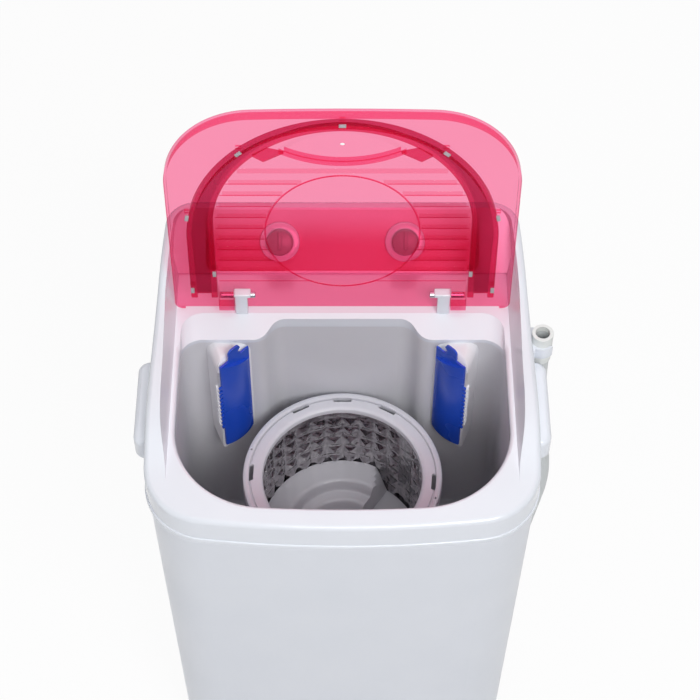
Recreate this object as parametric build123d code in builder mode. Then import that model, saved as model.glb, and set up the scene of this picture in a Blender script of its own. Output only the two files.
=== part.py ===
from build123d import *
from math import asin, atan, cos, degrees, pi, radians, sin, sqrt
import os

os.makedirs("parts", exist_ok=True)

# Portable top load washer with a lift-out spin basket, in millimetres.
# The floor is Z = 0, the front faces -Y and the lid stands open.

# Top frame and cabinet
frame_width = 374.0
frame_depth = 357.5
frame_shift = 2.75
frame_bow = 16.0
side_draw = 11.6
side_apex = 66.0
front_corner = 62.0
back_corner = 30.0
ledge_height = 520.0
frame_skirt = 36.0
skirt_wall = 5.5
frame_wall = 3.0
rim_round = 5.0
bead_proud = 1.2
bead_height = 6.0
console_rise = 48.0
console_depth = 47.0
console_lip = 10.0
cabinet_taper = 10.2
cabinet_shoulder = 1.8
cabinet_overlap = 21.0
cabinet_wall = 3.0
foot_height = 12.0
base_thickness = 4.0

# Mouth of the tub, with a shelf behind and a recess in the middle
rim_side = 27.0
rim_front = 22.5
mouth_bow = 10.0
mouth_corner = 88.0
mouth_depth = 202.5
shoulder_span = 80.0
shoulder_corner = 22.0
recess_depth = 20.0
recess_slant = 14.0
recess_round = 18.0
shelf_depth = 25.5
shelf_drop = 10.5
mouth_lip = 15.0
mouth_round = 3.5

# Wash tub
tub_floor_z = 205.0
tub_wall = 3.0
tub_margin = 1.0
flange_width = 11.5
floor_round = 8.0

# Lid and its hinge
lid_margin = 20.7
lid_front_margin = 18.0
lid_heel = 23.6
lid_sheet = 2.5
lid_face = 9.0
lid_skirt = 13.0
lid_corner = 85.0
lid_lean = 5.0
hinge_setback = 29.0
hinge_rise = 25.0
post_inset = 87.0
post_width = 12.0
pin_radius = 3.0
running_gap = 0.08

# Spin basket, pulsator and drive
axis_setback = 115.0
basket_top = 400.0
ring_radius = 101.0
ring_inner = 80.5
drum_radius = 86.0
drum_sheet = 0.8
base_height = 22.0
basket_lift = 28.0
pulsator_radius = 92.0
pulsator_gap = 5.0
shaft_radius = 6.0
drive_pulley_radius = 75.0
motor_pulley_radius = 15.0
pulley_bottom = 68.0
pulley_height = 14.0
motor_inset = 87.0
motor_setback = 18.5
motor_radius = 44.0
motor_bottom = 98.0
motor_height = 80.0

# Drain
drain_inset = 48.0
drain_setback = 64.5
outlet_z = 80.0
pipe_bore = 11.5
hose_radius = 9.4
hose_bore = 7.1
hose_bow = 27.0
hose_top_out = 11.2
hose_foot_out = 6.0
hose_lean = 8.0
cuff_top = 541.0
cuff_length = 38.0
cuff_radius = 10.6

# Knobs on the sloped console face
knob_x = 63.0
knob_radius = 20.0
cap_radius = 13.5
spindle_radius = 3.0

# Lint filters
filter_height = 135.0
filter_width = 38.0
filter_thick = 6.0
filter_drop = 2.0
housing_setback = 24.0
housing_width = 44.0

seat_gap = 0.3

skirt_bottom = ledge_height - frame_skirt
side_x = frame_width / 2
back_y = frame_depth / 2 + frame_shift
front_y = back_y - frame_depth
widest_y = front_y + side_apex
mouth_half = side_x - rim_side
mouth_width = 2 * mouth_half
mouth_front = front_y + rim_front
shoulder_y = mouth_front + mouth_depth
shoulder_inner_x = mouth_half - shoulder_span
recess_y = shoulder_y + recess_depth
recess_half = shoulder_inner_x - recess_slant
shelf_back_y = shoulder_y + shelf_depth
console_top_y = back_y - console_lip
console_foot_y = console_top_y - console_depth
axis_y = mouth_front + axis_setback
cabinet_bottom = foot_height + base_thickness
cabinet_top = skirt_bottom + cabinet_overlap
cabinet_height = skirt_bottom - cabinet_bottom
cabinet_inset = skirt_wall + seat_gap
cabinet_foot_inset = cabinet_shoulder + cabinet_taper
cabinet_slope = atan(cabinet_taper / cabinet_height)
flange_z = ledge_height - mouth_lip
tub_underside = tub_floor_z - tub_wall
hinge_y = shoulder_y + hinge_setback
hinge_z = ledge_height + hinge_rise
post_x = side_x - post_inset
lid_half = side_x - lid_margin
lid_reach = hinge_y - front_y - lid_front_margin
pulsator_base = tub_floor_z + pulsator_gap
basket_bottom = pulsator_base + basket_lift
basket_floor = basket_bottom + base_height
drum_top = basket_top - 6.0
motor_x = -side_x + motor_inset
motor_y = axis_y + motor_setback
drain_x = mouth_half - drain_inset
drain_y = axis_y + drain_setback
hose_bow_x = side_x + hose_bow
hose_foot_x = side_x + hose_foot_out
hose_top_y = drain_y + hose_lean
filter_top = flange_z - filter_drop
housing_outer_x = mouth_half - housing_setback
housing_inner_x = housing_outer_x - housing_width


def frame_side(y):
    return side_x - side_draw * ((y - widest_y) / (back_y - widest_y)) ** 2


def rim_outline(height, inset):
    front = front_y + inset
    back = back_y - inset
    bow_y = front + frame_bow
    bow_x = frame_side(bow_y) - inset
    back_x = frame_side(back) - inset
    with BuildSketch(Plane.XY.offset(height)) as outline:
        with BuildLine():
            ThreePointArc((bow_x, bow_y), (frame_side(0) - inset, 0), (back_x, back))
            Line((back_x, back), (-back_x, back))
            ThreePointArc((-back_x, back), (-frame_side(0) + inset, 0), (-bow_x, bow_y))
            ThreePointArc((-bow_x, bow_y), (0, front), (bow_x, bow_y))
        make_face()
        fillet(outline.vertices().group_by(Axis.Y)[0], max(front_corner - inset, 4))
        fillet(outline.vertices().group_by(Axis.Y)[-1], max(back_corner - inset, 4))
    return outline.sketch


def mouth_outline(height, grow):
    front = mouth_front + mouth_bow
    with BuildSketch(Plane.XY.offset(height)) as outline:
        with BuildLine():
            Polyline(
                (mouth_half, front),
                (mouth_half, shoulder_y),
                (shoulder_inner_x, shoulder_y),
                (recess_half, recess_y),
                (-recess_half, recess_y),
                (-shoulder_inner_x, shoulder_y),
                (-mouth_half, shoulder_y),
                (-mouth_half, front),
            )
            ThreePointArc((-mouth_half, front), (0, mouth_front), (mouth_half, front))
        make_face()
        fillet(outline.vertices().group_by(Axis.Y)[0], mouth_corner)
        ends = outline.vertices().filter_by(lambda v: abs(v.Y - shoulder_y) < 0.01)
        fillet(ends.filter_by(lambda v: abs(v.X) > mouth_half - 0.01), shoulder_corner)
        turns = outline.vertices().filter_by(lambda v: abs(abs(v.X) - shoulder_inner_x) < 0.01)
        turns += outline.vertices().filter_by(lambda v: abs(abs(v.X) - recess_half) < 0.01)
        fillet(turns.filter_by(lambda v: v.Y > shoulder_y - 0.01), recess_round)
        if grow > 0:
            offset(amount=grow, mode=Mode.REPLACE)
    return outline.sketch


# Side walls rise from the front rim to the console in one sweep
ear_start = front_y + 47.5
ear_run = console_top_y - ear_start
ear_points = [
    (ear_start, ledge_height),
    (ear_start + 0.17 * ear_run, ledge_height + 0.33 * console_rise),
    (ear_start + 0.46 * ear_run, ledge_height + 0.48 * console_rise),
    (ear_start + 0.65 * ear_run, ledge_height + 0.63 * console_rise),
    (console_top_y, ledge_height + console_rise),
]
console_top = ledge_height + console_rise
face_run = console_top_y - console_foot_y
face_rise = console_rise - 2.0
face_length = sqrt(face_run**2 + face_rise**2)
face_normal = (0, -face_rise / face_length, face_run / face_length)
knob_y = console_foot_y + 0.48 * face_run
knob_z = ledge_height + 2.0 + 0.48 * face_rise
console_face = Plane(origin=(0, knob_y, knob_z), x_dir=(1, 0, 0), z_dir=face_normal)

pocket_foot_x = side_x - 21.5
pocket_top_x = side_x - 12
boss_points = [
    (mouth_half + 7.6, -60),
    (mouth_half + 7.6, 10),
    (-mouth_half - 7.6, -60),
    (-mouth_half - 7.6, 10),
    (60, mouth_front - 6.2),
    (-60, mouth_front - 6.2),
    (112, shoulder_y + 8.2),
    (-112, shoulder_y + 8.2),
]
boss_depth = 6.0
window_half = side_x - 51
window_low = cabinet_top + 3.0
window_high = ledge_height + 34.0
window_mid = (window_low + window_high) / 2
cover_lap = 9.0
cover_screw_x = window_half + 4.5
cover_screw_z = (window_high - window_low) / 2 - 10

# Bead round the foot of the skirt
with BuildPart() as bead:
    extrude(rim_outline(skirt_bottom, -bead_proud), amount=bead_height)
    fillet(bead.edges().group_by(Axis.Z)[-1] + bead.edges().group_by(Axis.Z)[0], bead_proud - 0.1)
    extrude(rim_outline(skirt_bottom, skirt_wall - 1), amount=bead_height, mode=Mode.SUBTRACT)

with BuildPart() as top_frame:
    extrude(rim_outline(skirt_bottom, 0), amount=frame_skirt + console_rise)
    with BuildSketch(Plane.YZ):
        with BuildLine():
            Polyline(
                ear_points[0],
                (-back_y - 5, ledge_height),
                (-back_y - 5, skirt_bottom),
                (back_y + 5, skirt_bottom),
                (back_y + 5, console_top),
                ear_points[-1],
            )
            Spline(*ear_points, tangents=[(1, 0), (1, 0)])
        make_face()
    extrude(amount=frame_width, both=True, mode=Mode.INTERSECT)
    upper = top_frame.edges().filter_by(lambda e: e.center().Z > ledge_height - 1)
    upper = upper.filter_by(Axis.Z, reverse=True)
    crossing = upper.filter_by(Axis.X).filter_by(lambda e: abs(e.center().Y) < back_y - 1)
    fillet([e for e in upper if e not in crossing], rim_round)
    # Pocket that the lid drops into, between the side walls and the sloped console face
    with BuildSketch(Plane.YZ):
        with BuildLine():
            Polyline(
                (-back_y - 5, ledge_height),
                (console_foot_y, ledge_height),
                (console_foot_y, ledge_height + 2.0),
                (console_top_y, console_top),
                (console_top_y, console_top + 20),
                (-back_y - 5, console_top + 20),
                close=True,
            )
        make_face()
    pocket = extrude(amount=frame_width, both=True, mode=Mode.PRIVATE)
    with BuildSketch(Plane.XZ):
        with BuildLine():
            Polyline(
                (-pocket_foot_x, ledge_height),
                (pocket_foot_x, ledge_height),
                (pocket_top_x - 1, ledge_height + 24),
                (pocket_top_x, console_top + 20),
                (-pocket_top_x, console_top + 20),
                (-pocket_top_x + 1, ledge_height + 24),
                close=True,
            )
        make_face()
    pocket_sides = extrude(amount=frame_depth, both=True, mode=Mode.PRIVATE)
    room = extrude(rim_outline(ledge_height, 8), amount=console_rise + 20, mode=Mode.PRIVATE)
    add(pocket & pocket_sides & room, mode=Mode.SUBTRACT)
    # Hollow underside, then the hollow console
    extrude(rim_outline(skirt_bottom, skirt_wall), amount=frame_skirt - frame_wall, mode=Mode.SUBTRACT)
    with BuildSketch(Plane.YZ):
        with BuildLine():
            Polyline(
                (console_foot_y + 1.5 * frame_wall, ledge_height - frame_wall - 1),
                (console_foot_y + 1.5 * frame_wall, ledge_height),
                (console_top_y, console_top - 1.5 * frame_wall),
                (back_y - skirt_wall, console_top - 1.5 * frame_wall),
                (back_y - skirt_wall, ledge_height - frame_wall - 1),
                close=True,
            )
        make_face()
    extrude(amount=pocket_foot_x - 8, both=True, mode=Mode.SUBTRACT)
    # Lip round the mouth and the block below the shelf
    extrude(mouth_outline(flange_z, frame_wall), amount=mouth_lip)
    with BuildSketch(Plane.XY.offset(flange_z)):
        with Locations((0, shelf_back_y + 1)):
            Rectangle(2 * (mouth_half + frame_wall), 50, align=(Align.CENTER, Align.MAX))
    extrude(amount=mouth_lip - 1)
    with BuildSketch(Plane.XY.offset(flange_z)):
        with Locations(*boss_points):
            Circle(5.5)
    extrude(amount=mouth_lip - 1)
    extrude(mouth_outline(skirt_bottom, 0), amount=frame_skirt + 1, mode=Mode.SUBTRACT)
    # Shelf that slopes down to the mouth at the back corners
    with BuildSketch(Plane.XY.offset(ledge_height)) as shelf_top:
        with Locations((0, shelf_back_y)):
            Rectangle(mouth_width, shelf_back_y, align=(Align.CENTER, Align.MAX))
        fillet(shelf_top.vertices().group_by(Axis.Y)[-1], shoulder_corner)
    with BuildSketch(Plane.XY.offset(ledge_height - shelf_drop)) as shelf_low:
        with Locations((0, shoulder_y)):
            Rectangle(mouth_width - 4, shoulder_y, align=(Align.CENTER, Align.MAX))
        fillet(shelf_low.vertices().group_by(Axis.Y)[-1], shoulder_corner)
    loft(ruled=True, mode=Mode.SUBTRACT)
    # Rounded edge round the mouth
    mouth_edges = top_frame.edges().filter_by(lambda e: abs(e.center().Z - ledge_height) < 0.01)
    mouth_edges = mouth_edges.filter_by(lambda e: abs(e.center().X) < mouth_half + 0.01)
    fillet(mouth_edges.filter_by(lambda e: mouth_front - 1 < e.center().Y < shoulder_y - shoulder_corner), mouth_round)
    with BuildSketch(Plane.XY.offset(flange_z)):
        with Locations(*boss_points):
            Circle(1.6)
    extrude(amount=boss_depth, mode=Mode.SUBTRACT)
    # Spindle holes in the console and the window behind it
    with BuildSketch(console_face):
        with Locations((knob_x, 0), (-knob_x, 0)):
            Circle(spindle_radius + 1)
    extrude(amount=8, both=True, mode=Mode.SUBTRACT)
    with BuildSketch(Plane.XZ.offset(-back_y - 1)):
        with Locations((0, window_mid)):
            RectangleRounded(2 * window_half, window_high - window_low, 8)
    extrude(amount=skirt_wall + 1.5, mode=Mode.SUBTRACT)
    with BuildSketch(Plane.XZ.offset(-back_y)):
        with Locations((0, window_mid)):
            with GridLocations(2 * cover_screw_x, 2 * cover_screw_z, 2, 2):
                Circle(1.7)
    extrude(amount=skirt_wall, mode=Mode.SUBTRACT)
    add(bead.part)
top_frame.part.label = "top_frame"
export_step(top_frame.part, "parts/top_frame.step")

# Cabinet, a tapered shell with a lip inside the skirt and an inward flange at its foot


def cabinet_draw(height):
    return cabinet_foot_inset - cabinet_taper * (height - cabinet_bottom) / cabinet_height


outlet_wall = frame_side(drain_y) - cabinet_draw(outlet_z)
outlet_turn = atan(2 * side_draw * (drain_y - widest_y) / (back_y - widest_y) ** 2)
outlet_plane = Plane(
    origin=(outlet_wall, drain_y, outlet_z),
    x_dir=(-sin(outlet_turn), cos(outlet_turn), 0),
    z_dir=(
        cos(outlet_turn) * cos(cabinet_slope),
        sin(outlet_turn) * cos(cabinet_slope),
        -sin(cabinet_slope),
    ),
)
gland_z = 70.0
gland_x = -110.0
gland_plane = Plane(
    origin=(gland_x, back_y - cabinet_draw(gland_z), gland_z),
    x_dir=(1, 0, 0),
    z_dir=(0, cos(cabinet_slope), -sin(cabinet_slope)),
)
outlet_radius = 13.0
gland_radius = 7.0
foot_x = 128.0
foot_y = 126.0
base_screw_points = [(-156, 0), (156, 0), (-60, -149), (60, -149), (-60, 154), (60, 154)]

with BuildPart() as cabinet:
    loft([rim_outline(cabinet_bottom, cabinet_foot_inset), rim_outline(skirt_bottom, cabinet_shoulder)], ruled=True)
    extrude(rim_outline(skirt_bottom, cabinet_inset), amount=cabinet_overlap)
    loft(
        [
            rim_outline(cabinet_bottom, cabinet_foot_inset + cabinet_wall),
            rim_outline(skirt_bottom - cabinet_wall, cabinet_shoulder + cabinet_wall),
        ],
        ruled=True,
        mode=Mode.SUBTRACT,
    )
    extrude(
        rim_outline(skirt_bottom - cabinet_wall - 1, cabinet_inset + cabinet_wall),
        amount=cabinet_overlap + cabinet_wall + 1,
        mode=Mode.SUBTRACT,
    )
    with BuildSketch(Plane.XY.offset(cabinet_bottom)):
        add(rim_outline(cabinet_bottom, cabinet_foot_inset + 1))
        add(rim_outline(cabinet_bottom, cabinet_foot_inset + 22), mode=Mode.SUBTRACT)
    extrude(amount=cabinet_wall)
    with BuildSketch(Plane.XY.offset(cabinet_bottom)):
        with Locations(*base_screw_points):
            Circle(2.1)
    extrude(amount=cabinet_wall, mode=Mode.SUBTRACT)
    with BuildSketch(outlet_plane):
        Circle(outlet_radius)
    extrude(amount=12, both=True, mode=Mode.SUBTRACT)
    with BuildSketch(gland_plane):
        Circle(gland_radius)
    extrude(amount=12, both=True, mode=Mode.SUBTRACT)
    # Louvres low on the back wall for the motor
    with BuildSketch(Plane.XZ.offset(-back_y + cabinet_foot_inset - 4)):
        with Locations((60, 110)):
            with GridLocations(0, 12, 1, 6):
                SlotOverall(90, 5)
    extrude(amount=12, mode=Mode.SUBTRACT)
cabinet.part.label = "cabinet"
export_step(cabinet.part, "parts/cabinet.step")

with BuildPart() as base_plate:
    extrude(rim_outline(foot_height, cabinet_foot_inset + 0.2), amount=base_thickness)
    with BuildSketch(Plane.XY.offset(foot_height)):
        with GridLocations(0, 14, 1, 9):
            SlotOverall(110, 6)
        with Locations(*base_screw_points):
            Circle(2.1)
        with GridLocations(2 * foot_x, 2 * foot_y, 2, 2):
            Circle(4)
    extrude(amount=base_thickness, mode=Mode.SUBTRACT)
base_plate.part.label = "base_plate"
export_step(base_plate.part, "parts/base_plate.step")

with BuildPart() as feet:
    with BuildSketch(Plane.XY):
        with GridLocations(2 * foot_x, 2 * foot_y, 2, 2):
            Circle(15)
    extrude(amount=foot_height, taper=-6)
    fillet(feet.edges().group_by(Axis.Z)[0], 1.5)
    with BuildSketch(Plane.XY.offset(foot_height)):
        with GridLocations(2 * foot_x, 2 * foot_y, 2, 2):
            Circle(3.9)
    extrude(amount=base_thickness + 1)
feet.part.label = "feet"
export_step(feet.part, "parts/feet.step")

with BuildPart() as base_screws:
    with BuildSketch(Plane.XY.offset(foot_height - 2.4)):
        with Locations(*base_screw_points):
            Circle(4)
    extrude(amount=2.4)
    with BuildSketch(Plane.XY.offset(foot_height)):
        with Locations(*base_screw_points):
            Circle(2.0)
    extrude(amount=base_thickness + cabinet_wall + 3)
    with BuildSketch(Plane.XY.offset(foot_height - 2.4)):
        with Locations(*base_screw_points):
            Rectangle(5, 0.9)
            Rectangle(0.9, 5)
    extrude(amount=1.2, mode=Mode.SUBTRACT)
base_screws.part.label = "base_screws"
export_step(base_screws.part, "parts/base_screws.step")

# Wash tub, hung from the lip of the mouth by a screwed flange
bearing_radius = 34.0
housing_bolt_circle = 26.0
mount_ring = motor_radius + 7.0
mount_points = [
    (motor_x + mount_ring * cos(radians(a)), motor_y + mount_ring * sin(radians(a))) for a in (30, 150, 270)
]

with BuildPart() as wash_tub:
    extrude(mouth_outline(tub_underside, tub_margin + tub_wall), amount=flange_z - tub_underside)
    extrude(mouth_outline(flange_z - tub_wall, flange_width), amount=tub_wall)
    extrude(mouth_outline(tub_floor_z, tub_margin), amount=flange_z - tub_floor_z, mode=Mode.SUBTRACT)
    fillet(wash_tub.edges().filter_by(lambda e: abs(e.center().Z - tub_floor_z) < 0.01), floor_round)
    fillet(wash_tub.edges().filter_by(lambda e: abs(e.center().Z - tub_underside) < 0.01), floor_round)
    with BuildSketch(Plane.XY.offset(flange_z)):
        with Locations(*boss_points):
            Circle(2.0)
    extrude(amount=-tub_wall, mode=Mode.SUBTRACT)
    # Boss and bore for the drive shaft, drain hole and motor mounting holes
    with BuildSketch(Plane.XY.offset(tub_underside)):
        with Locations((0, axis_y)):
            Circle(14)
        with Locations((drain_x, drain_y)):
            Circle(pipe_bore)
        with Locations(*mount_points):
            Circle(2.6)
    extrude(amount=tub_wall, mode=Mode.SUBTRACT)
    with BuildSketch(Plane.XY.offset(tub_underside)):
        with Locations((0, axis_y)):
            with PolarLocations(housing_bolt_circle, 4):
                Circle(2.1)
    extrude(amount=tub_wall, mode=Mode.SUBTRACT)
wash_tub.part.label = "wash_tub"
export_step(wash_tub.part, "parts/wash_tub.step")

with BuildPart() as tub_screws:
    with BuildSketch(Plane.XY.offset(flange_z - tub_wall - 2.2)):
        with Locations(*boss_points):
            Circle(3.4)
    extrude(amount=2.2)
    with BuildSketch(Plane.XY.offset(flange_z - tub_wall)):
        with Locations(*boss_points):
            Circle(1.55)
    extrude(amount=tub_wall + boss_depth - 1)
tub_screws.part.label = "tub_screws"
export_step(tub_screws.part, "parts/tub_screws.step")

# Cover that closes the console from inside, screwed through the back wall
with BuildPart() as console_back:
    with BuildSketch(Plane.XZ.offset(-back_y)):
        with Locations((0, window_mid)):
            RectangleRounded(2 * (window_half - seat_gap), window_high - window_low - 2 * seat_gap, 8)
    extrude(amount=skirt_wall)
    with BuildSketch(Plane.XZ.offset(-back_y + skirt_wall)):
        with Locations((0, window_mid)):
            RectangleRounded(2 * (window_half + cover_lap), window_high - window_low - 1, 8)
    extrude(amount=2.0)
    with BuildSketch(Plane.XZ.offset(-back_y)):
        with Locations((0, window_mid)):
            with GridLocations(14, 0, 15, 1):
                SlotOverall(30, 3, rotation=90)
    extrude(amount=1.2, mode=Mode.SUBTRACT)
    with BuildSketch(Plane.XZ.offset(-back_y + skirt_wall)):
        with Locations((0, window_mid)):
            with GridLocations(2 * cover_screw_x, 2 * cover_screw_z, 2, 2):
                Circle(1.7)
    extrude(amount=2.0, mode=Mode.SUBTRACT)
console_back.part.label = "console_back"
export_step(console_back.part, "parts/console_back.step")

with BuildPart() as console_screws:
    with BuildSketch(Plane.XZ.offset(-back_y)):
        with Locations((0, window_mid)):
            with GridLocations(2 * cover_screw_x, 2 * cover_screw_z, 2, 2):
                Circle(1.6)
    extrude(amount=skirt_wall + 4)
    with BuildSketch(Plane.XZ.offset(-back_y)):
        with Locations((0, window_mid)):
            with GridLocations(2 * cover_screw_x, 2 * cover_screw_z, 2, 2):
                Circle(3.2)
    extrude(amount=-2)
    with BuildSketch(Plane.XZ.offset(-back_y - 2)):
        with Locations((0, window_mid)):
            with GridLocations(2 * cover_screw_x, 2 * cover_screw_z, 2, 2):
                Rectangle(4, 0.8)
                Rectangle(0.8, 4)
    extrude(amount=1, mode=Mode.SUBTRACT)
console_screws.part.label = "console_screws"
export_step(console_screws.part, "parts/console_screws.step")

# Carry handles, a lip on each side with room for the fingers behind it
handle_reach = 12.5
handle_wall = 3.5
handle_back = 18.0
handle_front = -80.0
handle_low = skirt_bottom + 8
handle_high = ledge_height - 3
handle_mid = (handle_back + handle_front) / 2
handle_length = handle_back - handle_front

with BuildPart() as handle_right:
    with BuildSketch(Plane.XY.offset(handle_low)) as grip:
        with Locations((side_x + handle_reach, handle_mid)):
            Rectangle(2 * handle_reach, handle_length, align=(Align.MAX, Align.CENTER))
        fillet(grip.vertices().group_by(Axis.X)[-1], handle_reach - 1)
    extrude(amount=handle_high - handle_low)
    fillet(handle_right.edges().group_by(Axis.Z)[-1].filter_by(lambda e: e.center().X > side_x - 6), 5)
    with BuildSketch(Plane.XY.offset(handle_low)) as hollow:
        with Locations((side_x + handle_reach - handle_wall, handle_mid)):
            Rectangle(2 * handle_reach, handle_length - 14, align=(Align.MAX, Align.CENTER))
        fillet(hollow.vertices().group_by(Axis.X)[-1], 6)
    extrude(amount=handle_high - handle_low - 5, mode=Mode.SUBTRACT)
    extrude(rim_outline(handle_low, 0), amount=handle_high - handle_low, mode=Mode.SUBTRACT)
handle_right.part.label = "handle_right"
export_step(handle_right.part, "parts/handle_right.step")

with BuildPart() as handle_left:
    mirror(handle_right.part, about=Plane.YZ)
handle_left.part.label = "handle_left"
export_step(handle_left.part, "parts/handle_left.step")

# Hinge posts on the ledge, with a cross pin in each
post_head = 5.0
post_depth = 8.5
head_reach = 4.0

with BuildPart() as hinge_post_right:
    with BuildSketch(Plane.YZ.offset(post_x - post_width / 2)):
        with Locations((hinge_y - post_head, ledge_height)):
            Rectangle(post_depth, hinge_rise, align=(Align.MIN, Align.MIN))
        with Locations((hinge_y, hinge_z)):
            Circle(post_head)
            Circle(pin_radius, mode=Mode.SUBTRACT)
    extrude(amount=post_width)
    with BuildSketch(Plane.YZ.offset(post_x - post_width / 2)):
        with Locations((hinge_y, hinge_z)):
            Circle(post_head)
            Circle(pin_radius, mode=Mode.SUBTRACT)
    extrude(amount=-head_reach)
hinge_post_right.part.label = "hinge_post_right"
export_step(hinge_post_right.part, "parts/hinge_post_right.step")

with BuildPart() as hinge_post_left:
    mirror(hinge_post_right.part, about=Plane.YZ)
hinge_post_left.part.label = "hinge_post_left"
export_step(hinge_post_left.part, "parts/hinge_post_left.step")

pin_inner = post_x - post_width / 2 - head_reach - 4
pin_outer = post_x + post_width / 2 + 14

with BuildPart() as hinge_pins:
    for start, end in ((pin_inner, pin_outer), (-pin_outer, -pin_inner)):
        with BuildSketch(Plane.YZ.offset(start)):
            with Locations((hinge_y, hinge_z)):
                Circle(pin_radius)
        extrude(amount=end - start)
    chamfer(hinge_pins.edges().filter_by(GeomType.CIRCLE), 0.5)
hinge_pins.part.label = "hinge_pins"
export_step(hinge_pins.part, "parts/hinge_pins.step")

# Lid, drawn flat on its own plane: y runs from the hinge to the grip, z out of the lid
lean = radians(lid_lean)
lid_plane = Plane(
    origin=(0, hinge_y, hinge_z),
    x_dir=(-1, 0, 0),
    z_dir=(0, cos(lean), -sin(lean)),
)
lid_inside = lid_face - lid_sheet
lid_rim = lid_face - lid_skirt
lid_bow = 5.0
skirt_heel = 2.5
boss_inner = post_x + post_width / 2 + 0.8
boss_outer = boss_inner + 15
boss_mid = (boss_inner + boss_outer) / 2
boss_top = 10.0
boss_tail = 14.0
boss_drop = 8.0
arch_half = lid_half - 17.3
arch_reach = lid_reach - 11.5
arch_width = 22.5
arch_head = 5.0
arch_foot = -2.5
arch_depth = 8.0
rib_wall = 3.5
core_half = arch_half - arch_width
core_reach = arch_reach - arch_head
circle_radius = 74.0
rib_width = 6.0
circle_y = 82.0
grip_low = 173.0
grip_end = 188.4
grip_half = 58.6
grip_depth = 7.0


def lid_outline(level, inset):
    half = lid_half - inset
    reach = lid_reach - inset
    with BuildSketch(lid_plane.offset(level)) as outline:
        with BuildLine():
            Polyline((half, reach - lid_bow), (half, -lid_heel), (-half, -lid_heel), (-half, reach - lid_bow))
            ThreePointArc((-half, reach - lid_bow), (0, reach), (half, reach - lid_bow))
        make_face()
        fillet(outline.vertices().group_by(Axis.Y)[-1], lid_corner - inset)
        fillet(outline.vertices().group_by(Axis.Y)[0], 8)
    return outline.sketch


def arch_outline(level, half, reach):
    with BuildSketch(lid_plane.offset(level)) as outline:
        with Locations((0, arch_foot - 20)):
            Rectangle(2 * half, reach - arch_foot + 20, align=(Align.CENTER, Align.MIN))
        fillet(outline.vertices().group_by(Axis.Y)[-1], half - 2)
    return outline.sketch


def grip_outline(level, inset):
    half = grip_half - 2 * inset
    high = core_reach - rib_wall - 2.5 - inset
    with BuildSketch(lid_plane.offset(level)) as outline:
        with BuildLine():
            ThreePointArc((-half, grip_end), (0, grip_low + inset), (half, grip_end))
            ThreePointArc((half, grip_end), (0, high), (-half, grip_end))
        make_face()
    return outline.sketch


rib_mid = rib_wall / 2
arch_centre = arch_reach - arch_half + 2
outer_rib = arch_half - 2 - rib_mid
window_spots = [
    (0, arch_reach - rib_mid),
    (2 + outer_rib * cos(radians(50)), arch_centre + outer_rib * sin(radians(50))),
    (-2 - outer_rib * cos(radians(50)), arch_centre + outer_rib * sin(radians(50))),
    (arch_half - rib_mid, 107),
    (-arch_half + rib_mid, 107),
    (core_half - rib_mid, 31),
    (-core_half + rib_mid, 31),
    (arch_half - rib_mid, 8),
    (-arch_half + rib_mid, 8),
]

with BuildPart() as lid_cover:
    extrude(lid_outline(lid_rim, 0), amount=lid_skirt)
    fillet(lid_cover.faces().filter_by(lambda f: f.normal_at().dot(lid_plane.z_dir) > 0.99).edges(), 3)
    extrude(lid_outline(lid_rim, lid_sheet), amount=lid_skirt - lid_sheet, mode=Mode.SUBTRACT)
    # Open heel, so that the hinge edge has no skirt
    with BuildSketch(lid_plane.offset(lid_rim)):
        with Locations((0, -lid_heel + 3)):
            Rectangle(2 * lid_half - 20, 8)
    extrude(amount=lid_skirt - lid_sheet, mode=Mode.SUBTRACT)
    # Skirt narrows from the front edge to the hinge
    with BuildSketch(Plane(origin=lid_plane.origin, x_dir=lid_plane.y_dir, z_dir=lid_plane.x_dir)):
        with BuildLine():
            Polyline(
                (-lid_heel - 1, lid_inside - skirt_heel),
                (lid_reach, lid_rim),
                (lid_reach, lid_rim - 5),
                (-lid_heel - 1, lid_rim - 5),
                close=True,
            )
        make_face()
    extrude(amount=lid_half + 1, both=True, mode=Mode.SUBTRACT)
    # Ribs beside the embossed circle
    with BuildSketch(lid_plane.offset(lid_inside)):
        with Locations((0, circle_y)):
            with GridLocations(0, 14.5, 1, 10):
                Rectangle(2 * core_half, rib_width)
            Circle(circle_radius + 1.2, mode=Mode.SUBTRACT)
    ribs = extrude(amount=-1.2, mode=Mode.PRIVATE)
    rib_zone = extrude(
        arch_outline(lid_inside, core_half - rib_wall - 2, core_reach - rib_wall - 2),
        amount=-1.2,
        mode=Mode.PRIVATE,
    )
    add(ribs & rib_zone)
    with BuildSketch(lid_plane.offset(lid_inside)):
        with Locations((0, circle_y)):
            Circle(circle_radius + 1.2)
            Circle(circle_radius - 1.2, mode=Mode.SUBTRACT)
    extrude(amount=-1.2)
    # Lens-shaped grip, sunk from the outside
    extrude(grip_outline(lid_inside - grip_depth, 0), amount=grip_depth + 0.5)
    extrude(grip_outline(lid_inside - grip_depth + lid_sheet, lid_sheet), amount=20, mode=Mode.SUBTRACT)
    with BuildSketch(lid_plane.offset(lid_face)):
        with Locations((0, core_reach - rib_wall - 17)):
            Circle(2.5)
        with Locations(*window_spots):
            Rectangle(5.6, 3.6)
    extrude(amount=-30, mode=Mode.SUBTRACT)
    # Hinge bosses outside the posts
    with BuildSketch(lid_plane.offset(-boss_drop)):
        with Locations((boss_mid, boss_top), (-boss_mid, boss_top)):
            Rectangle(boss_outer - boss_inner, boss_top + boss_tail, align=(Align.CENTER, Align.MAX))
    extrude(amount=boss_drop + lid_inside + 0.5)
    for start in (boss_inner - 1, -pin_outer - 1):
        with BuildSketch(Plane.YZ.offset(start)):
            with Locations((hinge_y, hinge_z)):
                Circle(pin_radius + running_gap)
        extrude(amount=pin_outer + 2 - boss_inner, mode=Mode.SUBTRACT)
lid_cover.part.label = "lid_cover"
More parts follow.
